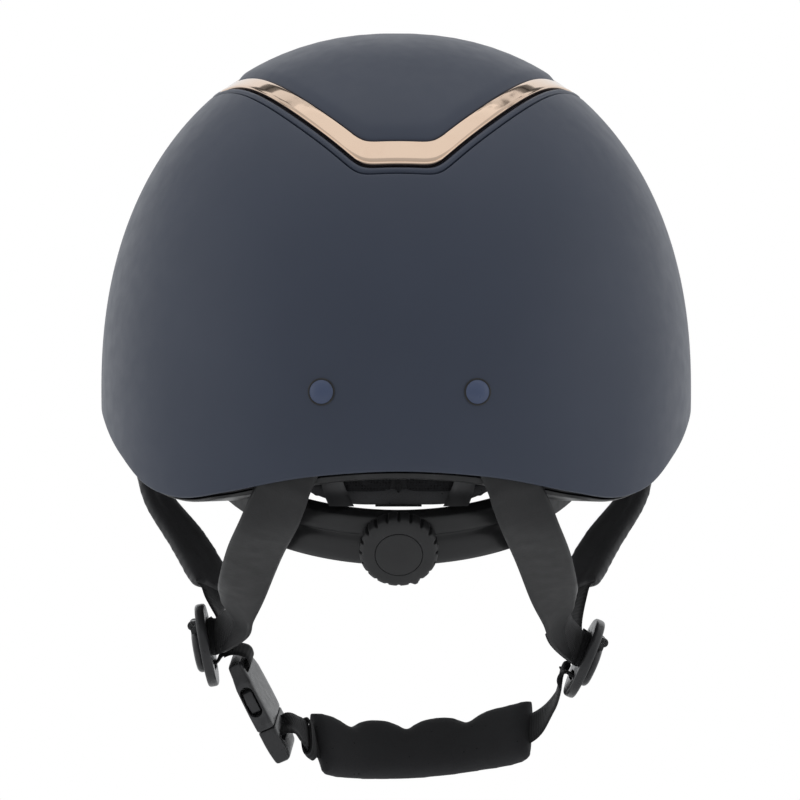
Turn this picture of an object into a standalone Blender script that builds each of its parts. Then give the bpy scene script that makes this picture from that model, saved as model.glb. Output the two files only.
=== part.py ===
"""Equestrian riding helmet with a centre panel, a peak, a four-point harness and a dial-fit cradle.

Frame: +Z up, -Y towards the peak, +X towards the wearer's left. The origin is the centre of the head
opening on the level of the shell's widest line. Lengths are in metres; MM turns millimetres into metres.
"""

import math

import bmesh
import bpy
from mathutils import Matrix, Vector

MM = 0.001
GAP = 0.3 * MM  # clearance between pieces that touch

# The dome that the shell and every layer inside it follow
HALF_WIDTH = 110 * MM
HALF_LENGTH = 128 * MM
CROWN_HEIGHT = 133 * MM
DOME_POWER = 2.2
# Height of the shell's lower edge: degrees round from the rear centre, and millimetres above the origin
RIM_HEIGHTS = ((0, -28.1), (15, -30.3), (30, -35.8), (40, -37.9), (50, -33.8), (60, -23.5), (75, -10.5),
               (90, -6), (120, -7), (150, -6), (180, -4))
AROUND = 40  # steps round the dome

# Layers, as depths below the dome's surface
SHELL = 2.2 * MM
RECESS = 2.8 * MM  # depth of the pocket that the centre panel sits in
STRAP_LAYER = 4.55 * MM
FOAM_OUTSIDE = 5.8 * MM
FOAM_INSIDE = 25 * MM
PAD_INSIDE = 34 * MM
HANGER_LAYER = 27 * MM  # the cradle's hangers, between the foam and the rear pads
HANGER_PIVOT = (24 * MM, -26 * MM)  # X and Z of each hanger's stud
RIM_COVER = 3 * MM

# Sides of the centre panel's outlines on the flattened dome: bearing of each side, distance in degrees
PANEL_SIDES = ((90, 49.6), (40, 36.6), (140, 36.6), (30, 32.1), (150, 32.1), (22, 29.4), (158, 29.4),
               (-13.8, 24.2), (193.8, 24.2), (-90, 54.5))
TRIM_SIDES = ((90, 54.3), (40, 39.9), (140, 39.9), (30, 35.1), (150, 35.1), (22, 32.2), (158, 32.2),
              (-13.8, 27.6), (193.8, 27.6), (-90, 58))
CORNER_POWER = 60
CORNERS = (83.4, 96.6)  # bearings of the outlines' two sharp corners at the rear
BEZEL_WIDTH = 1.6  # degrees
GROOVE = 0.15  # degrees, the gap between neighbours in the panel's pocket

# Peak
PEAK_SPREAD = 50  # degrees each side of the front
PEAK_LENGTH = 52 * MM
PEAK_SKIN = 2.2 * MM

# Rivets through the shell that hold the harness
RIVET_HEAD = 4.1 * MM
RIVET_SHANK = 2 * MM
RIVET_HEIGHT = -1 * MM
REAR_RIVET_X = 26.5 * MM
FRONT_RIVET_Y = -50 * MM

# Harness
STRAP_WIDTH = 19.5  # millimetres, as all the straps' stations are
WEBBING_WIDTH = 15
STRAP_THICKNESS = 1.4 * MM
PAD_TILT = math.radians(40)  # the chin pad's skin side faces up and back

# Dial-fit cradle: belts slide on arcs about an axis that leans back by this angle
CRADLE_LEAN = math.radians(28)
BELT_RADIUS = 70 * MM
CRADLE_REAR = Vector((0, 93, -51.5)) * MM
PINION_TEETH = 8
PITCH_RADIUS = 2.4 * MM
CHANNEL_HALF = 5.4 * MM
HOUSING_HALF = 9.4 * MM
HOUSING_SPREAD = 34  # degrees each side of the dial

COLOURS = {
    "navy": ((0.045, 0.055, 0.085), 0.45, 0.0),
    "rose_gold": ((0.83, 0.56, 0.43), 0.12, 1.0),
    "black_plastic": ((0.02, 0.02, 0.021), 0.4, 0.0),
    "foam": ((0.03, 0.03, 0.032), 0.85, 0.0),
    "fabric": ((0.018, 0.018, 0.02), 0.95, 0.0),
    "leather": ((0.028, 0.028, 0.03), 0.55, 0.0),
    "webbing": ((0.02, 0.02, 0.021), 0.8, 0.0),
    "steel": ((0.6, 0.6, 0.62), 0.3, 1.0),
}


# ---- Making meshes ----

def material(name):
    found = bpy.data.materials.get(name)
    if found:
        return found
    colour, roughness, metallic = COLOURS[name]
    made = bpy.data.materials.new(name)
    made.use_nodes = True
    shader = made.node_tree.nodes["Principled BSDF"]
    shader.inputs["Base Color"].default_value = (*colour, 1)
    shader.inputs["Roughness"].default_value = roughness
    shader.inputs["Metallic"].default_value = metallic
    return made


def loft(name, rings, slot, cyclic=False, place=None):
    """A closed object through rings of equal point counts, capped at both ends or joined end to end.

    Its origin is at place, and the points are in the helmet's frame.
    """
    origin = Vector(place) if place else Vector((0, 0, 0))
    bm = bmesh.new()
    rows = [[bm.verts.new(Vector(p) - origin) for p in ring] for ring in rings]
    count = len(rows[0])
    steps = len(rows) if cyclic else len(rows) - 1
    for i in range(steps):
        near, far = rows[i], rows[(i + 1) % len(rows)]
        for j in range(count):
            k = (j + 1) % count
            bm.faces.new((near[j], near[k], far[k], far[j]))
    if not cyclic:
        bm.faces.new(rows[0][::-1])
        bm.faces.new(rows[-1])
    bmesh.ops.recalc_face_normals(bm, faces=bm.faces)
    # The shorter diagonal of every four-sided face, so that nested layers stay parallel
    quads = [face for face in bm.faces if len(face.verts) == 4]
    bmesh.ops.triangulate(bm, faces=quads, quad_method="SHORT_EDGE")
    mesh = bpy.data.meshes.new(name)
    bm.to_mesh(mesh)
    bm.free()
    mesh.shade_smooth()
    mesh.set_sharp_from_angle(angle=math.radians(35))
    mesh.materials.append(material(slot))
    made = bpy.data.objects.new(name, mesh)
    made.location = origin
    bpy.context.scene.collection.objects.link(made)
    return made


def combine(target, other, operation="DIFFERENCE"):
    """Applies one Boolean to target and removes the other object."""
    modifier = target.modifiers.new(operation.title(), "BOOLEAN")
    modifier.operation = operation
    modifier.solver = "EXACT"
    modifier.object = other
    bpy.context.view_layer.update()
    result = bpy.data.meshes.new_from_object(target.evaluated_get(bpy.context.evaluated_depsgraph_get()))
    target.modifiers.clear()
    target.data = result
    bpy.data.objects.remove(other)
    return target


def ring(frame, radius_x, radius_y, depth, count, power=2.0):
    """Points of a superellipse in the XY plane of frame, at a depth along its Z."""
    points = []
    for i in range(count):
        angle = 2 * math.pi * i / count
        c, s = math.cos(angle), math.sin(angle)
        x = math.copysign(abs(c) ** (2 / power), c) * radius_x
        y = math.copysign(abs(s) ** (2 / power), s) * radius_y
        points.append(frame @ Vector((x, y, depth)))
    return points


def prism(name, frame, outline, low, high, slot, place=None):
    """The outline's (x, y) points in the frame's XY plane, extruded from low to high along its Z."""
    rings = [[frame @ Vector((x, y, z)) for x, y in outline] for z in (low, high)]
    return loft(name, rings, slot, place=place)


def turned(name, frame, profile, slot, count=20, place=None):
    """A body of revolution about frame's Z, through (radius, depth) points with a flat disc at each end."""
    rings = [ring(frame, radius, radius, depth, count) for radius, depth in profile]
    return loft(name, rings, slot, place=place)


def block(name, frame, low, high, slot, place=None):
    (x0, y0, z0), (x1, y1, z1) = low, high
    return prism(name, frame, ((x0, y0), (x1, y0), (x1, y1), (x0, y1)), z0, z1, slot, place)


def axes_frame(place, x_axis, z_axis):
    """A matrix at place whose Z is z_axis and whose X is as near x_axis as it can be."""
    z = Vector(z_axis).normalized()
    y = z.cross(Vector(x_axis)).normalized()
    x = y.cross(z)
    turn = Matrix((x, y, z)).transposed().to_4x4()
    return Matrix.Translation(Vector(place)) @ turn


def smooth_path(points, count):
    """count points along a Catmull-Rom curve through points, which may hold any number of values each."""
    points = [Vector(p) for p in points]
    ends = [2 * points[0] - points[1], *points, 2 * points[-1] - points[-2]]
    path = []
    for i in range(count):
        along = i / (count - 1) * (len(points) - 1)
        k = min(int(along), len(points) - 2)
        t = along - k
        a, b, c, d = ends[k:k + 4]
        path.append(0.5 * (2 * b + (c - a) * t + (2 * a - 5 * b + 4 * c - d) * t * t
                           + (3 * b - a - 3 * c + d) * t ** 3))
    return path


def smooth_value(table, x):
    """A Catmull-Rom reading of a table of (x, value), level at both ends."""
    xs, values = zip(*table)
    k = max(i for i in range(len(xs) - 1) if x >= xs[i] or i == 0)
    t = (x - xs[k]) / (xs[k + 1] - xs[k])

    def slope(i):
        if i in (0, len(xs) - 1):
            return 0.0
        return (values[i + 1] - values[i - 1]) / (xs[i + 1] - xs[i - 1])

    run = xs[k + 1] - xs[k]
    a, b = values[k], values[k + 1]
    return ((2 * t ** 3 - 3 * t ** 2 + 1) * a + (t ** 3 - 2 * t ** 2 + t) * run * slope(k)
            + (3 * t ** 2 - 2 * t ** 3) * b + (t ** 3 - t ** 2) * run * slope(k + 1))


def ribbon_sections(path, acrosses, widths, thickness):
    """Flat sections square to a path. Each across is the strap's width direction there."""
    sections = []
    for i, centre in enumerate(path):
        ahead = path[min(i + 1, len(path) - 1)] - path[max(i - 1, 0)]
        across = acrosses[i] - ahead * (acrosses[i].dot(ahead) / ahead.length_squared)
        across = across.normalized() * widths[i] / 2
        up = ahead.cross(across).normalized() * thickness / 2
        sections.append([centre - across - up, centre + across - up, centre + across + up,
                         centre - across + up])
    return sections


def strap(name, stations, slot, thickness=STRAP_THICKNESS, count=22):
    """A flat strap through stations of (point, width direction, width), all in millimetres."""
    path = [p * MM for p in smooth_path([s[0] for s in stations], count)]
    acrosses = smooth_path([s[1] for s in stations], count)
    widths = [w.x * MM for w in smooth_path([(s[2], 0, 0) for s in stations], count)]
    return loft(name, ribbon_sections(path, acrosses, widths, thickness), slot)


# ---- The dome and its layers ----

def dome_point(polar, azimuth, inset=0.0):
    """The point of a layer at these angles: polar from +Z, azimuth from +X towards +Y."""
    flat = math.sin(polar)
    direction = Vector((flat * math.cos(azimuth), flat * math.sin(azimuth), math.cos(polar)))
    sizes = (HALF_WIDTH - inset, HALF_LENGTH - inset, CROWN_HEIGHT - inset)
    total = sum((abs(d) / size) ** DOME_POWER for d, size in zip(direction, sizes))
    return direction * total ** (-1 / DOME_POWER)


def level_point(azimuth, height, inset=0.0):
    """The point of a layer on this azimuth, at this height."""
    a, b, c = (size - inset for size in (HALF_WIDTH, HALF_LENGTH, CROWN_HEIGHT))
    level = (1 - abs(height / c) ** DOME_POWER) ** (1 / DOME_POWER)
    x, y = math.cos(azimuth), math.sin(azimuth)
    reach = level / ((abs(x) / a) ** DOME_POWER + (abs(y) / b) ** DOME_POWER) ** (1 / DOME_POWER)
    return Vector((x * reach, y * reach, height))


def rear_point(x, height, inset):
    """The point of a layer at the rear, given its X and its height."""
    a, b, c = (size - inset for size in (HALF_WIDTH, HALF_LENGTH, CROWN_HEIGHT))
    rest = 1 - abs(x / a) ** DOME_POWER - abs(height / c) ** DOME_POWER
    return Vector((x, b * rest ** (1 / DOME_POWER), height))


def side_point(side, y, height, inset):
    """The point of a layer at a side, given its Y and its height."""
    a, b, c = (size - inset for size in (HALF_WIDTH, HALF_LENGTH, CROWN_HEIGHT))
    rest = 1 - abs(y / b) ** DOME_POWER - abs(height / c) ** DOME_POWER
    return Vector((side * a * rest ** (1 / DOME_POWER), y, height))


def surface_normal(point, inset=0.0):
    sizes = (HALF_WIDTH - inset, HALF_LENGTH - inset, CROWN_HEIGHT - inset)
    return Vector([math.copysign(abs(p / s) ** (DOME_POWER - 1) / s, p)
                   for p, s in zip(point, sizes)]).normalized()


def rim_height(azimuth):
    from_rear = abs((math.degrees(azimuth) - 90 + 180) % 360 - 180)
    return smooth_value(RIM_HEIGHTS, from_rear) * MM


def rim_polar(azimuth, inset, rise=0.0):
    point = level_point(azimuth, rim_height(azimuth) + rise, inset)
    return math.atan2(math.hypot(point.x, point.y), point.z)


def outline_polar(azimuth, sides, grow=0.0):
    """Polar angle of a many-sided outline with rounded corners."""
    total = 0
    for bearing, distance in sides:
        facing = math.cos(azimuth - math.radians(bearing))
        if facing > 0:
            total += (facing / (distance + grow)) ** CORNER_POWER
    return math.radians(total ** (-1 / CORNER_POWER))


AZIMUTHS = sorted([2 * math.pi * i / AROUND for i in range(AROUND)] + [math.radians(b) for b in CORNERS])


def dome_ring(polar_at, inset):
    """One ring of a layer. polar_at gives the polar angle for an azimuth."""
    return [dome_point(polar_at(azimuth), azimuth, inset) for azimuth in AZIMUTHS]


def between(low_at, high_at, share):
    return lambda azimuth: low_at(azimuth) + (high_at(azimuth) - low_at(azimuth)) * share


def pocket_edge(azimuth):
    return outline_polar(azimuth, TRIM_SIDES, BEZEL_WIDTH + GROOVE)


def scaled(polar_at, share):
    return lambda azimuth: polar_at(azimuth) * share


def panel_edge(azimuth):
    return outline_polar(azimuth, PANEL_SIDES)


def layer_rings(inset, steps=6, floor=None):
    """A layer's rings from the crown to the rim, with the pocket's floor at its own depth where given."""
    def rim_at(azimuth):
        return rim_polar(azimuth, inset)

    under = inset if floor is None else floor
    rings = [dome_ring(scaled(panel_edge, share), under) for share in (0.08, 0.3, 0.55, 0.8, 1)]
    rings.append(dome_ring(pocket_edge, under))
    if floor is not None:
        rings.append(dome_ring(pocket_edge, inset))
    rings += [dome_ring(between(pocket_edge, rim_at, i / steps), inset) for i in range(1, steps + 1)]
    return rings


def outer_shell():
    rings = layer_rings(0, floor=RECESS) + layer_rings(SHELL, floor=RECESS + SHELL)[::-1]
    return loft("outer_shell", rings, "navy")


def centre_panel():
    def edge(azimuth):
        return outline_polar(azimuth, PANEL_SIDES, -GROOVE)

    crowned = [(0.08, 0), (0.3, 0), (0.55, 0), (0.8, 0), (0.95, 0.1 * MM), (1, 0.9 * MM)]
    rings = [dome_ring(scaled(edge, share), depth) for share, depth in crowned]
    rings += [dome_ring(scaled(edge, share), RECESS - 1.5 * GAP) for share in (1, 0.8, 0.55, 0.3, 0.08)]
    return loft("centre_panel", rings, "navy")


def pocket_frame(name, low_at, high_at, top, slot):
    """A frame that fills the pocket between two outlines."""
    bottom = RECESS - 1.5 * GAP
    rings = [dome_ring(between(low_at, high_at, share), depth)
             for share, depth in ((0, top + 0.4 * MM), (0.15, top), (0.85, top), (1, top + 0.4 * MM),
                                  (1, bottom), (0, bottom))]
    return loft(name, rings, slot, cyclic=True)


def panel_frames():
    def at(sides, grow):
        return lambda azimuth: outline_polar(azimuth, sides, grow)

    pocket_frame("panel_trim", at(PANEL_SIDES, 0.02), at(TRIM_SIDES, 0), 0.5 * MM, "rose_gold")
    pocket_frame("panel_bezel", at(TRIM_SIDES, GROOVE), at(TRIM_SIDES, BEZEL_WIDTH), 0.1 * MM, "navy")


def foam_liner():
    steps = 6

    def edge(azimuth):
        return rim_polar(azimuth, FOAM_INSIDE)

    shares = [0.06] + [i / steps for i in range(1, steps + 1)]
    rings = layer_rings(FOAM_OUTSIDE)
    rings += [dome_ring(scaled(edge, share), FOAM_INSIDE) for share in reversed(shares)]
    return loft("foam_liner", rings, "foam")


def in_strap_path(azimuth):
    """True where a harness strap passes the rim."""
    from_rear = abs((math.degrees(azimuth) - 90 + 180) % 360 - 180)
    return 7 < from_rear < 32 or 104 < from_rear < 130


def rim_cover():
    """The cap over the foam's lower edge, cut back where the straps pass."""
    rings = []
    for azimuth in AZIMUTHS:
        out = FOAM_OUTSIDE + 1 * MM if in_strap_path(azimuth) else 3 * MM
        top = rim_height(azimuth) - 2 * GAP
        low = top - RIM_COVER
        rings.append([level_point(azimuth, top, out), level_point(azimuth, low + 0.8 * MM, out),
                      level_point(azimuth, low, out + 1.2 * MM), level_point(azimuth, low, FOAM_INSIDE),
                      level_point(azimuth, top, FOAM_INSIDE)])
    return loft("rim_cover", rings, "black_plastic", cyclic=True)


def lining_pad(name, bearings, drop, height, outside, steps):
    """A comfort pad along the foam's inside, between two bearings. drop is how far it hangs below the rim."""
    rings = []
    for i in range(steps + 1):
        azimuth = math.radians(bearings[0] + (bearings[1] - bearings[0]) * i / steps)
        bottom = rim_height(azimuth) - drop(azimuth)
        top = rim_height(azimuth) + height
        middle = (PAD_INSIDE + outside) / 2
        heights = ((bottom + 2 * MM, outside + 1 * MM), (bottom, middle), (bottom + 2 * MM, PAD_INSIDE),
                   ((bottom + top) / 2, PAD_INSIDE), (top - 3 * MM, PAD_INSIDE), (top, middle),
                   (top - 3 * MM, outside), ((bottom + top) / 2, outside))
        rings.append([level_point(azimuth, z, inset) for z, inset in heights])
    return loft(name, rings, "fabric")


def comfort_lining():
    def rear_drop(azimuth):
        from_rear = abs(math.degrees(azimuth) - 90)
        return 14 * MM * max(0.0, 1 - (from_rear / 24) ** 3)

    hung = FOAM_INSIDE + 3.8 * MM
    lining_pad("rear_pad_left", (65, 89.7), rear_drop, 34 * MM, hung, 6)
    lining_pad("rear_pad_right", (90.3, 115), rear_drop, 34 * MM, hung, 6)
    lining_pad("brow_pad", (-170, -10), lambda azimuth: 2 * MM, 36 * MM, FOAM_INSIDE + 1.3 * MM, 16)
    frame = Matrix.Translation((0, 0, CROWN_HEIGHT - FOAM_INSIDE))
    # The pad's sides keep under the foam's dome, and its underside is the flat that a head-form bears on
    profile = [(30 * MM, -14 * MM), (34 * MM, -12 * MM), (34 * MM, -9.5 * MM), (20 * MM, -4.6 * MM),
               (8 * MM, -3 * MM)]
    turned("crown_pad", frame, profile, "fabric", 24)


# ---- Peak ----

def peak_station(angle, share):
    """A point of the peak's top sheet: angle from the front, share from the shell (0) to the edge (1)."""
    azimuth = angle - math.pi / 2
    shape = math.cos(angle / math.radians(PEAK_SPREAD) * math.pi / 2)
    reach = PEAK_LENGTH * max(shape, 0.0) ** 0.85 + 2 * MM
    root_height = 12 * MM * shape - 1 * MM
    tip_height = -7 * MM * shape - 7 * MM
    root = level_point(azimuth, root_height, -2 * GAP)
    outward = Vector((math.cos(azimuth), math.sin(azimuth), 0))
    fall = share ** 1.4
    return root + outward * reach * share + Vector((0, 0, (tip_height - root_height) * fall))


def peak():
    steps, shares = 16, (0, 0.4, 0.75, 1)
    top_rings, under_rings = [], []
    for i in range(steps + 1):
        angle = math.radians(PEAK_SPREAD) * (2 * i / steps - 1)
        shape = math.cos(angle / math.radians(PEAK_SPREAD) * math.pi / 2)
        top = [peak_station(angle, share) for share in shares]
        skin = Vector((0, 0, PEAK_SKIN))
        low = [p - skin for p in top]
        lift = Vector((0, 0, 2.5 * GAP))
        deep = [p - lift - Vector((0, 0, (1.2 * MM + 7 * MM * max(shape, 0) * (1 - share) ** 1.5)))
                for p, share in zip(low, shares)]
        top_rings.append(top + low[::-1])
        under_rings.append([p - lift for p in low] + deep[::-1])
    loft("peak", top_rings, "navy")
    loft("peak_underside", under_rings, "black_plastic")


# ---- Rivets and straps ----

def rivet_frame(point):
    return axes_frame(point, (0, 0, 1), surface_normal(point))


def rivet(name, point):
    """A domed rivet with its washer behind the strap. Returns its frame, for the holes."""
    frame = rivet_frame(point)
    head = [(0.6 * MM, 1.7 * MM), (2.4 * MM, 1.35 * MM), (RIVET_HEAD, GAP + 0.3 * MM), (RIVET_HEAD, GAP),
            (RIVET_SHANK, GAP), (RIVET_SHANK, -5.5 * MM), (0.6 * MM, -5.5 * MM)]
    turned(name, frame, head, "navy", 16)
    return frame


def drill(target, frame, radius, low=-8 * MM, high=3 * MM):
    return combine(target, turned("drill", frame, [(radius, low), (radius, high)], "steel", 16))


def under_shell(point, sign_axis):
    """A station for a strap that lies on a layer: the point, and the level direction along the layer."""
    across = Vector((0, 0, 1)).cross(surface_normal(point, STRAP_LAYER))
    return point / MM, across if across[sign_axis] > 0 else -across


def mirrored(stations, side):
    return [(Vector((side * p[0], p[1], p[2])), Vector((side * w[0], w[1], w[2])), width)
            for p, w, width in stations]


def rear_strap(side, name, ending):
    """The wide strap from a rear rivet down to the divider."""
    stations = [(*under_shell(rear_point(x * MM, z * MM, STRAP_LAYER + deeper * MM), 0), STRAP_WIDTH)
                for x, z, deeper in ((25, 8, 0), (27.5, -3, 0), (32.5, -17, 0.1), (38.2, -30, 0.5),
                                     (40.6, -36.5, 0.6))]
    stations += [((45.2, 104.5, -47), (1, -0.2, 0), STRAP_WIDTH), ((50.5, 88, -58), (1, -0.05, 0), STRAP_WIDTH),
                 ((55.1, 68, -70.4), (1, 0.05, 0.15), 18), ((58.2, 50, -79.4), (0.8, -0.25, 0.45), 15.5)]
    made = strap(f"rear_strap_{name}", mirrored(stations, side) + ending, "leather", count=26)
    frame = rivet(f"rear_rivet_{name}", rear_point(side * REAR_RIVET_X, RIVET_HEIGHT, 0))
    return made, frame


SLEEVE_STATIONS = (3, 6.4)  # the padded sleeve's first and last station on the front strap


def front_strap(side, name, ending):
    """The webbing from a temple rivet down to the divider, with a padded sleeve on its upper half."""
    stations = [(*under_shell(side_point(1, y * MM, z * MM, STRAP_LAYER), 1), WEBBING_WIDTH)
                for y, z in ((-52, 8), (-49.5, -3), (-46, -13))]
    stations += [(point, across, WEBBING_WIDTH) for point, across in (
        ((97, -41.5, -25), (0.1, 0.95, -0.25)), ((91, -33, -41.5), (0.3, 0.9, -0.25)),
        ((78.8, -22, -58), (0.5, 0.8, -0.3)), ((70, -9, -72.5), (0.5, 0.8, -0.25)),
        ((68.3, -2, -80), (0.35, 0.8, 0.15)))]
    stations = mirrored(stations, side) + ending
    made = strap(f"front_strap_{name}", stations, "webbing", count=26)
    frame = rivet(f"front_rivet_{name}", side_point(side, FRONT_RIVET_Y, RIVET_HEIGHT, 0))
    path, acrosses = stretch(stations, *SLEEVE_STATIONS, 9)
    sleeve(f"front_sleeve_{name}", path, acrosses, (10 * MM, 3.4 * MM), (8.5 * MM, 1.7 * MM), "leather")
    return made, frame


def stretch(stations, first, last, count):
    """The path and width directions of a strap between two of its stations."""
    dense = 12 * (len(stations) - 1) + 1
    path = [p * MM for p in smooth_path([s[0] for s in stations], dense)]
    acrosses = smooth_path([s[1] for s in stations], dense)
    picks = [round(12 * (first + (last - first) * i / (count - 1))) for i in range(count)]
    return [path[k] for k in picks], [acrosses[k] for k in picks]


def oval_sections(path, acrosses, half_width, half_thickness, count=12, power=2.4):
    rings = []
    for i, centre in enumerate(path):
        ahead = path[min(i + 1, len(path) - 1)] - path[max(i - 1, 0)]
        frame = axes_frame(centre, acrosses[i], ahead)
        rings.append(ring(frame, half_width, half_thickness, 0, count, power))
    return rings


def sleeve(name, path, acrosses, outside, inside, slot, count=10):
    """A tube round a strap: outside and inside are (half width, half thickness)."""
    outer = oval_sections(path, acrosses, *outside, count)
    inner = oval_sections(path, acrosses, *inside, count, 4)
    return loft(name, outer + inner[::-1], slot, cyclic=True)


# ---- Dividers with their cam levers ----

DIVIDERS = {
    "left": (Vector((70.5, 12, -95)) * MM, math.radians(10.5)),
    "right": (Vector((-70, 12, -100)) * MM, math.radians(23.6)),
}
DIVIDER_HALF = (19 * MM, 15.5 * MM)
PLATE_HALF = 1.8 * MM
LEVER_PIN = Vector((0, 8.5, 3.6)) * MM


def divider_frame(name):
    """Frame of a divider: X runs aft, Y up the plate and Z outwards from the cheek."""
    place, lean = DIVIDERS[name]
    side = 1 if name == "left" else -1
    up = Vector((side * math.sin(lean), 0, math.cos(lean)))
    outward = Vector((side * math.cos(lean), 0, -math.sin(lean)))
    turn = Matrix((Vector((0, 1, 0)), up, outward)).transposed().to_4x4()
    return Matrix.Translation(place) @ turn


def slot_frame(frame, x, y, degrees):
    return frame @ Matrix.Translation((x * MM, y * MM, 0)) @ Matrix.Rotation(math.radians(degrees), 4, "Z")


SLOTS = {"rear": (9, 3.5, 125), "front": (-9, 3.5, 55), "low": (0, -7.5, 0)}


def divider(name):
    frame = divider_frame(name)
    wide, tall = DIVIDER_HALF
    rings = [ring(frame, wide * share, tall * share, depth, 28, 2.3)
             for share, depth in ((0.95, -PLATE_HALF), (1, -PLATE_HALF + 0.8 * MM), (1, PLATE_HALF - 0.8 * MM),
                                  (0.95, PLATE_HALF))]
    body = loft(f"divider_{name}", rings, "black_plastic")
    for place in SLOTS.values():
        cutter = block("slot", slot_frame(frame, *place), (-8.2 * MM, -1.7 * MM, -5 * MM),
                       (8.2 * MM, 1.7 * MM, 5 * MM), "steel")
        combine(body, cutter)
    pin_frame = frame @ Matrix.Translation(LEVER_PIN) @ Matrix.Rotation(math.pi / 2, 4, "Y")
    for low in (-8.6, 6.4):
        ear = block("ear", frame, (low * MM, 6.8 * MM, 1.2 * MM), ((low + 2.2) * MM, 10.2 * MM, 5.3 * MM), "steel")
        combine(body, ear, "UNION")
    drill(body, pin_frame, 0.9 * MM, -12 * MM, 12 * MM)
    turned(f"lever_pin_{name}", pin_frame, [(0.6 * MM, -8.5 * MM), (0.6 * MM, 8.5 * MM)], "steel", 12)
    lever(name, frame, pin_frame)
    return frame


def lever(name, frame, pin_frame):
    """The cam lever on the divider's outside, with its knuckle round the pin."""
    place = pin_frame.translation
    centre = frame @ Matrix.Translation((0, -1.2 * MM, 0))
    rings = [ring(centre, 11 * MM * share, 8.4 * MM * share, depth * MM, 20, 2.3)
             for share, depth in ((0.95, 2.2), (1, 2.8), (1, 4.1), (0.9, 4.9))]
    body = loft(f"cam_lever_{name}", rings, "black_plastic", place=place)
    room = block("room", frame, (-20 * MM, 5.4 * MM, 0), (20 * MM, 12 * MM, 9 * MM), "steel")
    combine(body, room)
    knuckle = turned("knuckle", pin_frame, [(1.5 * MM, -6 * MM), (1.5 * MM, 6 * MM)], "black_plastic", 14)
    arm = block("arm", frame, (-6 * MM, 4.6 * MM, 2.6 * MM), (6 * MM, 7.8 * MM, 4.6 * MM), "black_plastic")
    combine(knuckle, arm, "UNION")
    combine(body, knuckle, "UNION")
    return drill(body, pin_frame, 0.9 * MM, -12 * MM, 12 * MM)


# ---- Side-release buckle ----

BUCKLE_AXIS = Vector((-0.438, -0.2, -0.876)).normalized()
BUCKLE_TOP = Vector((59.4, 11.5, -99.4)) * MM
HOUSING_LENGTH = 27
# X aft, Y through its thickness, Z to the chin
BUCKLE_FRAME = axes_frame(BUCKLE_TOP, (0.08, 0.96, -0.26), BUCKLE_AXIS)


def buckle_housing():
    body = loft("buckle_housing", [ring(BUCKLE_FRAME, wide * MM, thick * MM, depth * MM, 20, 4)
                                   for wide, thick, depth in ((9.6, 2, 0), (10.4, 2.7, 0.8), (12.4, 3.4, 9),
                                                              (12.4, 3.6, 23), (11.8, 3.5, HOUSING_LENGTH))],
                "black_plastic")
    cavity = block("cavity", BUCKLE_FRAME, (-9.6 * MM, -2.2 * MM, 7 * MM), (9.6 * MM, 2.2 * MM, 40 * MM), "steel")
    combine(body, cavity)
    for side in (-1, 1):
        low, high = sorted((side * 8 * MM, side * 16 * MM))
        window = block("window", BUCKLE_FRAME, (low, -2.5 * MM, 9 * MM), (high, 2.5 * MM, 21 * MM), "steel")
        combine(body, window)
    opening = block("opening", BUCKLE_FRAME, (-8.2 * MM, -8 * MM, 2.4 * MM), (8.2 * MM, 8 * MM, 5.2 * MM), "steel")
    return combine(body, opening)


def buckle_tongue():
    start = HOUSING_LENGTH + 0.4
    body = loft("buckle_tongue", [ring(BUCKLE_FRAME, wide * MM, thick * MM, depth * MM, 20, 4)
                                  for wide, thick, depth in ((11.8, 3.4, start), (11.8, 3.4, start + 6),
                                                             (11, 3, start + 12), (10.2, 2.2, start + 14))],
                "black_plastic")
    guide = block("guide", BUCKLE_FRAME, (-2 * MM, -1.6 * MM, 12 * MM), (2 * MM, 1.6 * MM, (start + 1) * MM),
                  "black_plastic")
    combine(body, guide, "UNION")
    opening = block("opening", BUCKLE_FRAME, (-8.6 * MM, -8 * MM, (start + 3.5) * MM),
                    (8.6 * MM, 8 * MM, (start + 7.7) * MM), "steel")
    return combine(body, opening)


def buckle_prongs():
    """The two springy arms of the tongue: each ends in a barb that shows in a side window."""
    for name, side in (("front", -1), ("rear", 1)):
        root = HOUSING_LENGTH + 0.1
        outline = [(7.2, root), (7.2, 12), (8.6, 10.4), (11.6, 11.6), (12.1, 15.5), (11.4, 19.6), (9.0, 20.2),
                   (8.8, root)]
        flat = BUCKLE_FRAME @ Matrix.Rotation(math.pi / 2, 4, "X")  # Z of this frame runs through the thickness
        points = [(side * x * MM, z * MM) for x, z in outline]
        prism(f"buckle_prong_{name}", flat, points, -1.9 * MM, 1.9 * MM, "black_plastic",
              place=BUCKLE_FRAME @ Vector((side * 8, 0, HOUSING_LENGTH)) * MM)


# ---- Chin strap ----

CHIN_ACROSS = Vector((0, -math.cos(PAD_TILT), math.sin(PAD_TILT)))
PAD_ROUTE = ((30, -6, -133.2), (12, -16, -136.5), (-9, -20, -136.8), (-31, -17, -133.8), (-51, -8, -128))
PAD_STATIONS = (3, 7)  # the pad's first and last station on the webbing


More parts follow.
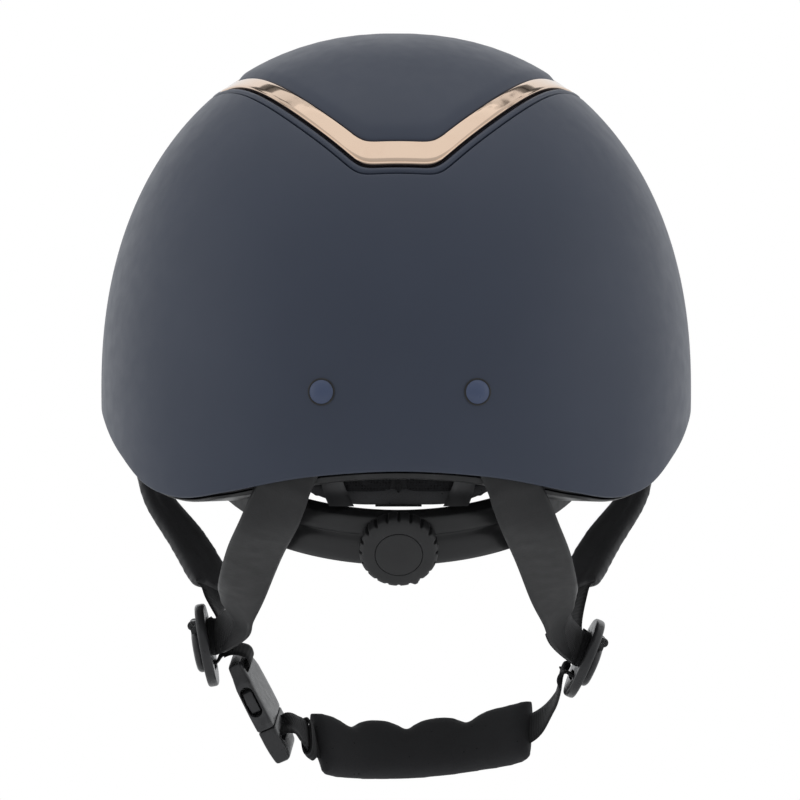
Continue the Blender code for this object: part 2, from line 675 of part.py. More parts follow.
def chin_stations():
    slit = BUCKLE_FRAME @ Vector((0, 0, (HOUSING_LENGTH + 6) * MM)) / MM
    inside = BUCKLE_FRAME.to_3x3() @ Vector((0, 1, 0))
    if inside.x > 0:
        inside = -inside
    buckle_across = BUCKLE_FRAME.to_3x3() @ Vector((1, 0, 0))
    lower = slot_frame(divider_frame("right"), *SLOTS["low"])
    finish = lower.translation / MM
    inward = lower.to_3x3() @ Vector((0, 0, -1))
    aft = Vector((0, 1, 0))
    wide = WEBBING_WIDTH
    stations = [(slit, buckle_across, wide), (slit + inside * 5.6, buckle_across, wide),
                (Vector((35, -0.5, -128.6)), Vector((0, 0.86, -0.52)), wide)]
    stations += [(Vector(p), -CHIN_ACROSS, wide) for p in PAD_ROUTE]
    stations += [(Vector((-59.5, 1, -117.5)), Vector((0.1, 0.9, -0.4)), wide),
                 (finish + inward * 5.5 - Vector((0, 0, 1)), aft, 14.4),
                 (finish + inward * 2.4, aft, 14), (finish, aft, 14)]
    return stations


def chin_webbing():
    return strap("chin_webbing", chin_stations(), "webbing", thickness=1.3 * MM, count=50)


def chin_pad():
    path, acrosses = stretch(chin_stations(), *PAD_STATIONS, 13)
    return sleeve("chin_pad", path, acrosses, (14.5 * MM, 5.5 * MM), (8.6 * MM, 1.9 * MM), "fabric", 12)


def strap_keeper():
    """The elastic loop that holds the webbing's tail beside the pad."""
    path, acrosses = stretch(chin_stations(), 2.35, 2.8, 4)
    return sleeve("strap_keeper", path, acrosses, (10 * MM, 2.9 * MM), (9.1 * MM, 2 * MM), "webbing")


def buckle_webbing():
    """The short webbing between the left divider and the buckle."""
    slot = slot_frame(divider_frame("left"), *SLOTS["low"])
    inward = slot.to_3x3() @ Vector((0, 0, -1))
    first = slot.translation / MM
    last = BUCKLE_FRAME @ Vector((0, 0, 3.8 * MM)) / MM
    aft = Vector((0, 1, 0))
    across = BUCKLE_FRAME.to_3x3() @ Vector((1, 0, 0))
    stations = [(first, aft, 14), (first + inward * 2.4 + Vector((0, 0, 0.8)), aft, 14)]
    # Over the buckle's end and in through its opening from the inner face
    stations += [(BUCKLE_FRAME @ (Vector((0, thick, depth)) * MM) / MM, across, 14)
                 for thick, depth in ((3.8, -3.4), (-0.6, -3.2), (-4.5, -0.4), (-4.4, 3))]
    stations.append((last, across, 14))
    return strap("buckle_webbing", stations, "webbing", thickness=1.1 * MM, count=36)


def harness():
    holes = []
    for name, side in (("left", 1), ("right", -1)):
        frame = divider(name)
        inward = frame.to_3x3() @ Vector((0, 0, -1))
        rear_slot, front_slot = (slot_frame(frame, *SLOTS[k]) for k in ("rear", "front"))
        rear_across, front_across = (s.to_3x3() @ Vector((1, 0, 0)) for s in (rear_slot, front_slot))
        at_rear, at_front = rear_slot.translation / MM, front_slot.translation / MM
        aft = Vector((0, 1, 0))
        wide = WEBBING_WIDTH
        rear_end = [(at_rear + inward * 12.6 + aft * 15 + Vector((0, 0, 4)), Vector((side * 0.6, -0.5, 0.6)), 14),
                    (at_rear + inward * 5.2 + aft * 1.2, rear_across, wide),
                    (at_rear + inward * 2.6, rear_across, wide), (at_rear, rear_across, wide)]
        holes.append(rear_strap(side, name, rear_end))
        front_end = [(at_front + inward * 5.2 + Vector((0, -1.6, 2.4)), front_across, wide),
                     (at_front + inward * 2.6, front_across, wide), (at_front, front_across, wide)]
        holes.append(front_strap(side, name, front_end))
    shell = bpy.data.objects["outer_shell"]
    for made, frame in holes:
        drill(shell, frame, RIVET_SHANK + GAP)
        drill(made, frame, RIVET_SHANK + GAP)
    buckle_housing()
    buckle_tongue()
    buckle_prongs()
    buckle_webbing()
    chin_webbing()
    chin_pad()
    strap_keeper()


# ---- Dial-fit cradle ----

CRADLE_OUT = Vector((0, math.cos(CRADLE_LEAN), -math.sin(CRADLE_LEAN)))
CRADLE_UP = Vector((0, math.sin(CRADLE_LEAN), math.cos(CRADLE_LEAN)))
CRADLE_CENTRE = CRADLE_REAR - BELT_RADIUS * CRADLE_OUT
DIAL_FRAME = axes_frame(CRADLE_CENTRE, (1, 0, 0), CRADLE_OUT)
HINGE = Vector((0, rear_point(*HANGER_PIVOT, HANGER_LAYER).y, HANGER_PIVOT[1]))


def arc_point(radius, degrees, height):
    turn = math.radians(degrees)
    outward = Vector((math.sin(turn), 0, 0)) + CRADLE_OUT * math.cos(turn)
    return CRADLE_CENTRE + outward * radius + CRADLE_UP * height


def arc_body(name, section, low, high, steps, slot, place=None):
    """A section of (radius, height) points swept round the cradle's axis between two bearings."""
    rings = [[arc_point(radius, low + (high - low) * i / steps, height) for radius, height in section]
             for i in range(steps + 1)]
    return loft(name, rings, slot, place=place)


def box_section(radius_low, radius_high, low, high):
    return ((radius_low, low), (radius_high, low), (radius_high, high), (radius_low, high))


def belt(name, side, radius):
    """A belt with a toothed slot in its tail. side is +1 for the wearer's left."""
    thickness = 1.2 * MM
    inner, outer = radius, radius + thickness
    tail, slot_end, far = 14.5, 12, 72
    per_mm = math.degrees(MM / (radius + thickness / 2))
    start = -side * tail * per_mm
    body = arc_body(name, box_section(inner, outer, -5 * MM, 5 * MM), start, side * far, 26, "black_plastic",
                    place=CRADLE_CENTRE)
    window = arc_body("window", box_section(inner - MM, outer + MM, -3.4 * MM, 3.4 * MM), -slot_end * per_mm,
                      slot_end * per_mm, 10, "steel")
    combine(body, window)
    pitch = 2 * math.pi * PITCH_RADIUS / PINION_TEETH / MM
    count = int(slot_end / pitch)
    # Half a pitch off on the side where the pinion's tooth points straight at the belt
    for k in range(-count, count):
        centre = (k + 0.5) * pitch
        rings = []
        for radial in (inner + 0.02 * MM, outer - 0.02 * MM):
            rings.append([arc_point(radial, (centre + offset) * per_mm, -side * height * MM)
                          for offset, height in ((-0.55, 4), (0.55, 4), (0.16, 1.95), (-0.16, 1.95))])
        combine(body, loft("tooth", rings, "steel"), "UNION")
    return body


def pinion():
    """The toothed shaft that drives both belts. Its axis points out through the cradle's cover."""
    teeth_low, teeth_high = BELT_RADIUS - 0.9 * MM, BELT_RADIUS + 2.4 * MM
    outline = []
    for k in range(PINION_TEETH):
        middle = 2 * math.pi * k / PINION_TEETH
        for radius, half in ((1.7, 0.42), (2.4, 0.3), (3.05, 0.14)):
            outline.append((radius, middle - half / radius))
        for radius, half in ((3.05, 0.14), (2.4, 0.3), (1.7, 0.42)):
            outline.append((radius, middle + half / radius))
    # The teeth start on the X axis of the dial's frame, turned to point up and down the cradle
    points = [(radius * math.cos(a + math.pi / 2) * MM, radius * math.sin(a + math.pi / 2) * MM)
              for radius, a in outline]
    body = prism("dial_pinion", DIAL_FRAME, points, teeth_low, teeth_high, "black_plastic",
                 place=DIAL_FRAME @ Vector((0, 0, teeth_low)))
    shaft = turned("shaft", DIAL_FRAME, [(1.6 * MM, teeth_high - 0.5 * MM), (1.6 * MM, BELT_RADIUS + 9.5 * MM)],
                   "black_plastic", 16)
    return combine(body, shaft, "UNION")


def knob():
    base = BELT_RADIUS + 5.1 * MM
    count, ribs = 48, 12
    rings = []
    for radius, depth, depth_of_rib in ((12.6, 0, 0.2), (13.1, 0.6, 0.5), (13.3, 1.6, 0.8), (13.1, 5.4, 0.8),
                                        (12.2, 6.6, 0.3), (11.0, 7.2, 0), (8.4, 7.6, 0)):
        points = []
        for i in range(count):
            angle = 2 * math.pi * i / count
            notch = 0.5 - 0.5 * math.cos(ribs * angle)
            r = (radius - depth_of_rib * notch) * MM
            points.append(DIAL_FRAME @ Vector((r * math.cos(angle), r * math.sin(angle), base + depth * MM)))
        rings.append(points)
    body = loft("dial_knob", rings, "black_plastic", place=DIAL_FRAME @ Vector((0, 0, base)))
    pocket = turned("pocket", DIAL_FRAME, [(8.3 * MM, base + 6.6 * MM), (8.3 * MM, base + 9 * MM)], "steel", 28)
    combine(body, pocket)
    drill(body, DIAL_FRAME, 1.9 * MM, base - MM, BELT_RADIUS + 9.8 * MM)
    turned("dial_cap", DIAL_FRAME, [(7.2 * MM, base + 6.9 * MM), (8 * MM, base + 6.9 * MM),
                                    (8 * MM, base + 7.5 * MM), (7.2 * MM, base + 8 * MM), (2 * MM, base + 8.4 * MM)],
           "black_plastic", 28, place=DIAL_FRAME @ Vector((0, 0, base + 6.9 * MM)))


def cradle():
    spread, rail = HOUSING_SPREAD, HOUSING_HALF
    low, mid, high = (BELT_RADIUS + offset * MM for offset in (-2.8, -1.2, 2.9))
    channel = CHANNEL_HALF
    base_section = ((low, -rail), (high, -rail), (high, -channel), (mid, -channel), (mid, channel),
                    (high, channel), (high, rail), (low, rail))
    base = arc_body("cradle_base", base_section, -spread, spread, 14, "black_plastic", HINGE)
    cover_low = high + GAP
    step_low, step_high = BELT_RADIUS + 4 * MM, BELT_RADIUS + 4.8 * MM
    cover_section = ((cover_low, -rail), (step_high, -rail), (step_high, 1.6 * MM), (step_low, 2.6 * MM),
                     (step_low, rail), (cover_low, rail))
    cover = arc_body("cradle_cover", cover_section, -spread, spread, 14, "black_plastic", HINGE)
    drill(cover, DIAL_FRAME, 3.6 * MM, BELT_RADIUS + MM, BELT_RADIUS + 7 * MM)
    screw_names = iter(("1", "2", "3", "4"))
    for bearing in (-30, 30):
        for height in (-7.4 * MM, 7.4 * MM):
            foot = arc_point(0, bearing, height)
            frame = axes_frame(foot, CRADLE_UP, arc_point(1, bearing, 0) - arc_point(0, bearing, 0))
            turned(f"cradle_screw_{next(screw_names)}", frame,
                   [(1.1 * MM, low - 1.2 * MM), (1.1 * MM, low - 0.3 * MM), (0.7 * MM, low - 0.1 * MM),
                    (0.7 * MM, high + 0.9 * MM)], "steel", 10, HINGE)
            for body in (base, cover):
                drill(body, frame, 0.95 * MM, low - 4 * MM, high + 1.1 * MM)
    inner, outer = low - 5.2 * MM, low - 1.6 * MM
    section = ((inner, -4 * MM), (inner + 1.4 * MM, -5.8 * MM), (outer, -5.8 * MM), (outer, 5.6 * MM),
               (inner + 1.4 * MM, 5.6 * MM), (inner, 3.8 * MM))
    arc_body("nape_pad", section, -spread, spread, 12, "fabric", HINGE)
    belt("fit_belt_left", 1, BELT_RADIUS - 0.8 * MM)
    belt("fit_belt_right", -1, BELT_RADIUS + 0.9 * MM)
    pinion()
    knob()
    struts()


def struts():
    """Flat hangers that carry the cradle from studs in the foam. They pivot about the studs."""
    foam = bpy.data.objects["foam_liner"]
    for name, side in (("left", 1), ("right", -1)):
        pivot_x, pivot_z = HANGER_PIVOT
        pivot = rear_point(side * pivot_x, pivot_z, HANGER_LAYER)
        drop = Vector((0, 0, 1))
        foot = arc_point(BELT_RADIUS + 2 * MM, side * 16, HOUSING_HALF + 2.4 * MM)
        path = [pivot + drop * 4 * MM + Vector((side * 0.6, 0.4, 0)) * MM, pivot,
                pivot - drop * 5 * MM - Vector((side * 0.6, 0.6, 0)) * MM,
                pivot - drop * 10 * MM - Vector((side * 2, 1.6, 0)) * MM, foot]
        path = smooth_path(path, 7)
        acrosses = [Vector((side, -0.27, 0))] * 7
        widths = [6 * MM, 8 * MM, 8 * MM, 7.6 * MM, 8 * MM, 9 * MM, 10 * MM]
        hanger = loft(f"cradle_strut_{name}", ribbon_sections(path, acrosses, widths, 1.3 * MM), "black_plastic",
                      place=HINGE)
        frame = axes_frame(pivot, (1, 0, 0), surface_normal(pivot, HANGER_LAYER))
        drill(hanger, frame, 1.8 * MM, -4 * MM, 4 * MM)
        drill(foam, frame, 1.8 * MM, -4 * MM, 8 * MM)
        turned(f"cradle_stud_{name}", frame, [(2.6 * MM, -2.1 * MM), (2.8 * MM, -1.4 * MM), (1.4 * MM, -1.35 * MM),
                                              (1.4 * MM, 7 * MM)], "steel", 12)


def build():
    for existing in list(bpy.data.objects):
        bpy.data.objects.remove(existing)
    outer_shell()
    centre_panel()
    panel_frames()
    foam_liner()
    rim_cover()
    comfort_lining()
    peak()
    harness()
    cradle()


build()
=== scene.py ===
"""Looks of the riding helmet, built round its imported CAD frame.

Frame: +Z up, -Y towards the peak, +X towards the wearer's left, in metres. The camera looks at the helmet from
straight behind. The layers of the dome, the routes of the straps and the frames of the fittings repeat the
formulas of the CAD source at a finer step.
"""

import math

import bmesh
import bpy
import numpy as np
from mathutils import Matrix, Vector, noise


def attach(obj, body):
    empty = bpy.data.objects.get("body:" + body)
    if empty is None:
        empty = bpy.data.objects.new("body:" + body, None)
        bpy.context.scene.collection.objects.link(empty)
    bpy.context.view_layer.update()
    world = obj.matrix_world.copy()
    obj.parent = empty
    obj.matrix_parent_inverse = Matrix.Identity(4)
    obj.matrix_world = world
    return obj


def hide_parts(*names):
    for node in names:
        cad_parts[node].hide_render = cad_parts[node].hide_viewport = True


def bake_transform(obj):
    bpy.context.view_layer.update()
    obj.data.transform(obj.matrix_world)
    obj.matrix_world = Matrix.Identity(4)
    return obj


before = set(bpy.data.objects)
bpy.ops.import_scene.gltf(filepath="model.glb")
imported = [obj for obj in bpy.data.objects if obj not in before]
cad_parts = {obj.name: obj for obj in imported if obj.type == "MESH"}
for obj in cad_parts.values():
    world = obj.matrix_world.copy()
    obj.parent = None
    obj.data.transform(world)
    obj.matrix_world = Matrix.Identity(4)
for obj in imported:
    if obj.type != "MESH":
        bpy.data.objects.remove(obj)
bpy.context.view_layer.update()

MM = 0.001
GAP = 0.3 * MM

# The dome
HALF_WIDTH, HALF_LENGTH, CROWN_HEIGHT = 110 * MM, 128 * MM, 133 * MM
DOME_POWER = 2.2
RIM_HEIGHTS = ((0, -28.1), (15, -30.3), (30, -35.8), (40, -37.9), (50, -33.8), (60, -23.5), (75, -10.5),
               (90, -6), (120, -7), (150, -6), (180, -4))
SHELL, RECESS, STRAP_LAYER = 2.2 * MM, 2.8 * MM, 4.55 * MM
FOAM_OUTSIDE, FOAM_INSIDE, PAD_INSIDE = 5.8 * MM, 25 * MM, 34 * MM
HANGER_LAYER, HANGER_PIVOT = 27 * MM, (24 * MM, -26 * MM)
RIM_COVER = 2.1 * MM

# The centre panel's outlines: bearing and distance of each side, in degrees
PANEL_SIDES = ((90, 49.6), (40, 36.6), (140, 36.6), (30, 32.1), (150, 32.1), (22, 29.4), (158, 29.4),
               (-13.8, 24.2), (193.8, 24.2), (-90, 54.5))
TRIM_SIDES = ((90, 54.3), (40, 39.9), (140, 39.9), (30, 35.1), (150, 35.1), (22, 32.2), (158, 32.2),
              (-13.8, 27.6), (193.8, 27.6), (-90, 58))
CORNER_POWER = 60
BEZEL_WIDTH, GROOVE = 1.6, 0.15

STRAP_WIDTH, WEBBING_WIDTH = 19.5, 15  # millimetres, as the straps' stations are
PEAK_SPREAD, PEAK_LENGTH, PEAK_SKIN = 50, 52 * MM, 2.2 * MM
RIVET_HEIGHT = -1 * MM
REAR_RIVET_X, FRONT_RIVET_Y = 26.5 * MM, -50 * MM
PAD_TILT = math.radians(40)

CRADLE_LEAN = math.radians(28)
BELT_RADIUS = 70 * MM
CRADLE_REAR = Vector((0, 93, -51.5)) * MM
CHANNEL_HALF, HOUSING_HALF, HOUSING_SPREAD = 5.4 * MM, 9.4 * MM, 34
UP, AFT = Vector((0, 0, 1)), Vector((0, 1, 0))


# ---- Node materials ----

class Paint:
    """A Principled material whose inputs are built up one node at a time."""

    def __init__(self, name, colour, roughness=0.5, metallic=0.0, **plain):
        self.made = bpy.data.materials.new(name)
        self.made.use_nodes = True
        self.tree = self.made.node_tree
        self.shader = self.tree.nodes["Principled BSDF"]
        self.colour, self.roughness = (*colour, 1), roughness
        self.set("Base Color", self.colour)
        self.set("Roughness", roughness)
        self.set("Metallic", metallic)
        for key, value in plain.items():
            self.set(key.replace("_", " "), value)
        self.places = self.node("ShaderNodeTexCoord")
        self.height = None

    def node(self, kind, inputs=None, **settings):
        made = self.tree.nodes.new(kind)
        for key, value in settings.items():
            setattr(made, key, value)
        for key, value in (inputs or {}).items():
            self.join(made.inputs[key], value)
        return made

    def join(self, socket, value):
        if isinstance(value, bpy.types.NodeSocket):
            self.tree.links.new(value, socket)
        else:
            socket.default_value = value

    def set(self, key, value):
        self.join(self.shader.inputs[key], value)

    def at(self, source="Object", stretch=(1, 1, 1)):
        """Object places or UVs, both in metres."""
        mapped = self.node("ShaderNodeMapping", {"Vector": self.places.outputs[source], "Scale": stretch})
        return mapped.outputs["Vector"]

    def noise(self, scale, detail=3.0, source="Object", stretch=(1, 1, 1), rough=0.5):
        made = self.node("ShaderNodeTexNoise", {"Vector": self.at(source, stretch), "Scale": scale,
                                                "Detail": detail, "Roughness": rough})
        return made.outputs["Fac"]

    def cells(self, scale, feature="F1", random=1.0):
        made = self.node("ShaderNodeTexVoronoi", {"Vector": self.at(), "Scale": scale, "Randomness": random},
                         feature=feature)
        return made.outputs["Distance"]

    def ramp(self, value, low, high, out_low=0.0, out_high=1.0):
        made = self.node("ShaderNodeMapRange", {"Value": value, "From Min": low, "From Max": high,
                                                "To Min": out_low, "To Max": out_high})
        return made.outputs["Result"]

    def maths(self, operation, a, b=0.0):
        return self.node("ShaderNodeMath", {0: a, 1: b}, operation=operation).outputs[0]

    def mix(self, share, a, b):
        made = self.node("ShaderNodeMix", data_type="RGBA")
        self.join(made.inputs["Factor"], share)
        self.join(made.inputs["A"], a)
        self.join(made.inputs["B"], b)
        return made.outputs["Result"]

    def vary_colour(self, share, other):
        """Mixes another colour into the base colour by share."""
        self.colour = self.mix(share, self.colour, (*other, 1))
        self.set("Base Color", self.colour)

    def vary_roughness(self, value, spread):
        self.set("Roughness", self.ramp(value, 0.3, 0.7, self.roughness - spread, self.roughness + spread))

    def bump(self, value, distance, strength=1.0):
        """Adds relief: distance is its height in metres."""
        inputs = {"Height": value, "Distance": distance, "Strength": strength}
        if self.height:
            inputs["Normal"] = self.height
        self.height = self.node("ShaderNodeBump", inputs).outputs["Normal"]
        self.set("Normal", self.height)

    def wear(self, other, amount):
        """A lighter, rubbed colour on the convex edges."""
        edge = self.node("ShaderNodeNewGeometry").outputs["Pointiness"]
        convex = self.ramp(edge, 0.52, 0.6)
        worn = self.maths("MULTIPLY", convex, self.ramp(self.noise(300), 0.35, 0.65, 0, amount))
        self.vary_colour(worn, other)

    def thread(self, pitch, axis):
        """A wave of this pitch along one UV axis, from 0 to 1."""
        split = self.node("ShaderNodeSeparateXYZ", {"Vector": self.places.outputs["UV"]})
        turned = self.maths("MULTIPLY", split.outputs[axis], 2 * math.pi / pitch)
        return self.ramp(self.maths("SINE", turned), -1, 1)


def soft_touch(name, colour, roughness, grain):
    paint = Paint(name, colour, roughness, Specular_IOR_Level=0.4)
    broad = paint.noise(30, 2)
    paint.vary_colour(paint.ramp(broad, 0.3, 0.7, 0, 0.12), tuple(c * 1.5 for c in colour))
    paint.vary_roughness(paint.noise(160, 4), 0.035)
    paint.bump(paint.noise(5200, 2), 0.012 * MM, grain)
    paint.bump(paint.noise(60, 2), 0.05 * MM, 0.12)
    paint.wear(tuple(c * 2.2 + 0.02 for c in colour), 0.25)
    return paint.made


def polished_metal():
    paint = Paint("rose_gold_mirror", (0.80, 0.61, 0.47), 0.07, 1.0)
    smudge = paint.noise(70, 5, rough=0.65)
    paint.vary_colour(paint.ramp(smudge, 0.5, 0.75, 0, 0.25), (0.72, 0.5, 0.37))
    paint.set("Roughness", paint.ramp(smudge, 0.35, 0.75, 0.05, 0.13))
    paint.bump(paint.noise(90, 2), 0.05 * MM, 0.25)
    paint.bump(paint.noise(1400, 3), 0.002 * MM, 0.5)
    return paint.made


def moulded_plastic(name, colour, roughness, grain, coat=0.0):
    paint = Paint(name, colour, roughness, Coat_Weight=coat, Coat_Roughness=0.12)
    paint.vary_colour(paint.ramp(paint.noise(120, 3), 0.35, 0.7, 0, 0.3), tuple(c * 1.6 for c in colour))
    paint.vary_roughness(paint.noise(400, 4), 0.05)
    paint.bump(paint.cells(2600), 0.02 * MM, grain)
    paint.wear((0.11, 0.11, 0.115), 0.35)
    return paint.made


def leatherette(name, colour):
    """Coated fabric with a pebbled grain and fine wrinkles across the strap."""
    paint = Paint(name, colour, 0.47, Specular_IOR_Level=0.5, Sheen_Weight=0.06)
    pebble = paint.cells(1500, feature="SMOOTH_F1")
    wrinkle = paint.noise(520, 3, "UV", (1, 0.4, 1), 0.55)
    paint.vary_colour(paint.ramp(pebble, 0.2, 0.7, 0.2, 0), tuple(c * 1.9 for c in colour))
    paint.vary_colour(paint.ramp(paint.noise(45, 3), 0.4, 0.75, 0, 0.3), tuple(c * 2 for c in colour))
    paint.vary_roughness(paint.noise(250, 4), 0.06)
    paint.bump(pebble, 0.06 * MM, 0.5)
    paint.bump(wrinkle, 0.1 * MM, 0.3)
    return paint.made


def woven_tape(name, colour, rib=1.25 * MM):
    """Webbing: ribs across it, each made of threads that cross over and under."""
    paint = Paint(name, colour, 0.78, Sheen_Weight=0.12, Specular_IOR_Level=0.35)
    ribs = paint.thread(rib, "X")
    threads = paint.thread(0.62 * MM, "Y")
    weave = paint.maths("MULTIPLY", ribs, paint.ramp(threads, 0, 1, 0.45, 1))
    paint.vary_colour(paint.ramp(weave, 0.15, 0.9, 0, 0.55), tuple(c * 2.6 for c in colour))
    paint.vary_colour(paint.ramp(paint.noise(500, 4), 0.45, 0.8, 0, 0.4), tuple(c * 2 for c in colour))
    paint.bump(weave, 0.16 * MM, 0.8)
    paint.bump(paint.noise(3500, 3), 0.04 * MM, 0.4)
    return paint.made


def spacer_mesh(name, colour, pitch=1.05 * MM, hole=0.3):
    """Knitted mesh with rows of small holes."""
    paint = Paint(name, colour, 0.85, Sheen_Weight=0.15, Specular_IOR_Level=0.3)
    cells = paint.cells(1 / pitch, random=0.12)
    paint.vary_colour(paint.ramp(cells, hole, hole + 0.12, 1, 0), tuple(c * 0.25 for c in colour))
    paint.vary_colour(paint.ramp(paint.noise(900, 4), 0.4, 0.75, 0, 0.5), tuple(c * 2.1 for c in colour))
    paint.bump(paint.ramp(cells, hole - 0.1, hole + 0.2), 0.25 * MM, 0.6)
    paint.bump(paint.noise(4200, 3), 0.05 * MM, 0.5)
    return paint.made


def knit_fabric(name, colour):
    """Smooth stretch fabric over foam, with a fine knit and a few pin holes."""
    paint = Paint(name, colour, 0.82, Sheen_Weight=0.1, Specular_IOR_Level=0.35)
    pins = paint.cells(260, random=0.9)
    fibres = paint.noise(3200, 4, rough=0.7)
    paint.vary_colour(paint.ramp(fibres, 0.4, 0.75, 0, 0.55), tuple(c * 2.1 for c in colour))
    paint.vary_colour(paint.ramp(pins, 0.05, 0.11, 1, 0), tuple(c * 0.2 for c in colour))
    paint.vary_colour(paint.ramp(paint.noise(60, 3), 0.45, 0.75, 0, 0.35), tuple(c * 1.7 for c in colour))
    paint.bump(paint.ramp(pins, 0.04, 0.12), 0.12 * MM, 0.6)
    paint.bump(fibres, 0.05 * MM, 0.6)
    return paint.made


def expanded_foam():
    """Moulded foam beads."""
    paint = Paint("bead_foam", (0.03, 0.03, 0.033), 0.75)
    beads = paint.cells(300)
    paint.vary_colour(paint.ramp(beads, 0.3, 0.75, 0, 0.8), (0.008, 0.008, 0.009))
    paint.vary_roughness(paint.noise(300, 3), 0.1)
    paint.bump(paint.ramp(beads, 0.2, 0.9, 1, 0), 0.35 * MM, 0.5)
    return paint.made


def brushed_steel():
    paint = Paint("brushed_steel", (0.55, 0.55, 0.57), 0.28, 1.0)
    lines = paint.noise(900, 3, stretch=(1, 1, 14))
    paint.set("Roughness", paint.ramp(lines, 0.3, 0.7, 0.2, 0.42))
    paint.vary_colour(paint.ramp(lines, 0.4, 0.8, 0, 0.4), (0.32, 0.32, 0.34))
    paint.bump(lines, 0.01 * MM, 0.4)
    return paint.made


def sewing_thread():
    paint = Paint("thread", (0.035, 0.035, 0.037), 0.6, Sheen_Weight=0.2)
    twist = paint.noise(2600, 2, stretch=(1, 1, 3))
    paint.vary_colour(paint.ramp(twist, 0.4, 0.7, 0, 0.6), (0.09, 0.09, 0.095))
    paint.bump(twist, 0.05 * MM, 0.6)
    return paint.made


NAVY = (0.054, 0.066, 0.099)
BLACK = (0.024, 0.024, 0.025)
paints = {
    "shell": soft_touch("navy_soft_touch", NAVY, 0.43, 0.35),
    "rivet": soft_touch("navy_satin", (0.082, 0.108, 0.19), 0.3, 0.15),
    "gold": polished_metal(),
    "satin": moulded_plastic("satin_black_plastic", BLACK, 0.42, 0.35),
    "hardware": moulded_plastic("hardware_black_plastic", (0.033, 0.033, 0.035), 0.3, 0.25),
    # Painted light: the struts are the same black plastic as the other fittings, with a lighter base colour that
    # stands in for light in the shade under the shell
    "hanger": moulded_plastic("hanger_plastic_painted_light", (0.085, 0.085, 0.088), 0.45, 0.35),
    "gloss": moulded_plastic("gloss_black_plastic", (0.014, 0.014, 0.015), 0.38, 0.1, 0.1),
    "leather": leatherette("leatherette", (0.016, 0.016, 0.017)),
    # Painted light: the sleeves get the straps' leatherette with a lighter base colour, which lightens them
    # against the shade they hang in
    "sleeve": leatherette("sleeve_leatherette_painted_light", (0.044, 0.044, 0.046)),
    "tape": woven_tape("woven_tape", (0.016, 0.016, 0.017)),
    "elastic": woven_tape("ribbed_elastic", (0.02, 0.02, 0.021), 1.9 * MM),
    "mesh": spacer_mesh("spacer_mesh", (0.02, 0.02, 0.022)),
    # Painted light: the rear pads' fold gets the knit fabric with a lighter base colour, standing in for light
    # that hardly reaches it
    "piping": knit_fabric("piping_fabric_painted_light", (0.08, 0.08, 0.084)),
    "knit": knit_fabric("knit_fabric", (0.029, 0.029, 0.031)),
    "foam": expanded_foam(),
    "steel": brushed_steel(),
    "thread": sewing_thread(),
}


# ---- Making meshes ----

def place(piece, body, paint, slot, *nodes, fill=None):
    """Finishes a piece: its material, its body and the CAD nodes that it stands for, which it hides. Its slot is
    not used.
    """
    piece.data.materials.clear()
    piece.data.materials.append(paints[paint])
    if body:
        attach(piece, body)
    if nodes:
        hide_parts(*nodes)
    return piece


def from_mesh(name, mesh, angle=40):
    mesh.shade_smooth()
    if angle is not None:
        mesh.set_sharp_from_angle(angle=math.radians(angle))
    made = bpy.data.objects.new(name, mesh)
    bpy.context.scene.collection.objects.link(made)
    return made


def surface(name, rows, cyclic=False, poles=(None, None), angle=40):
    """A closed form through rings of equal point counts, with UVs in metres along it and round it.

    A pole closes an end with a fan to that point, and cyclic joins the last ring to the first.
    """
    grid = np.array([[tuple(p) for p in row] for row in rows])
    rings, count = grid.shape[:2]
    along = [0.0, *np.cumsum(np.linalg.norm(np.diff(grid, axis=0), axis=2).mean(axis=1))]
    if cyclic:
        along.append(along[-1] + np.linalg.norm(grid[0] - grid[-1], axis=1).mean())
    closed = np.concatenate([grid, grid[:, :1]], axis=1)
    around = [0.0, *np.cumsum(np.linalg.norm(np.diff(closed, axis=1), axis=2).mean(axis=0))]
    points = [tuple(p) for p in grid.reshape(-1, 3)]
    faces, places = [], []
    for i in range(rings if cyclic else rings - 1):
        far = (i + 1) % rings
        for j in range(count):
            k = (j + 1) % count
            faces.append((i * count + j, i * count + k, far * count + k, far * count + j))
            places += [(along[i], around[j]), (along[i], around[j + 1]), (along[i + 1], around[j + 1]),
                       (along[i + 1], around[j])]
    if not cyclic:
        for pole, row, edge in ((poles[0], 0, along[0]), (poles[1], rings - 1, along[-1])):
            base = row * count
            if pole is None:
                faces.append(tuple(base + j for j in range(count)))
                places += [(edge, around[j]) for j in range(count)]
            else:
                points.append(tuple(pole))
                for j in range(count):
                    faces.append((base + j, base + (j + 1) % count, len(points) - 1))
                    places += [(edge, around[j]), (edge, around[j + 1]), (edge, around[j])]
    mesh = bpy.data.meshes.new(name)
    mesh.from_pydata(points, [], faces)
    mesh.uv_layers.new(name="UVMap").data.foreach_set("uv", np.array(places, np.float32).ravel())
    bm = bmesh.new()
    bm.from_mesh(mesh)
    bmesh.ops.recalc_face_normals(bm, faces=bm.faces)
    bm.to_mesh(mesh)
    bm.free()
    return from_mesh(name, mesh, angle)


def settle(piece):
    """Applies a piece's modifiers."""
    bpy.context.view_layer.update()
    made = bpy.data.meshes.new_from_object(piece.evaluated_get(bpy.context.evaluated_depsgraph_get()))
    piece.modifiers.clear()
    piece.data = made
    return piece


def combine(target, other, operation="DIFFERENCE"):
    modifier = target.modifiers.new(operation.title(), "BOOLEAN")
    modifier.operation, modifier.solver, modifier.object = operation, "EXACT", other
    settle(target)
    bpy.data.objects.remove(other)
    return target


def smooth(piece, angle):
    """Smooth shading, with sharp edges from this angle up."""
    piece.data.shade_smooth()
    piece.data.set_sharp_from_angle(angle=math.radians(angle))


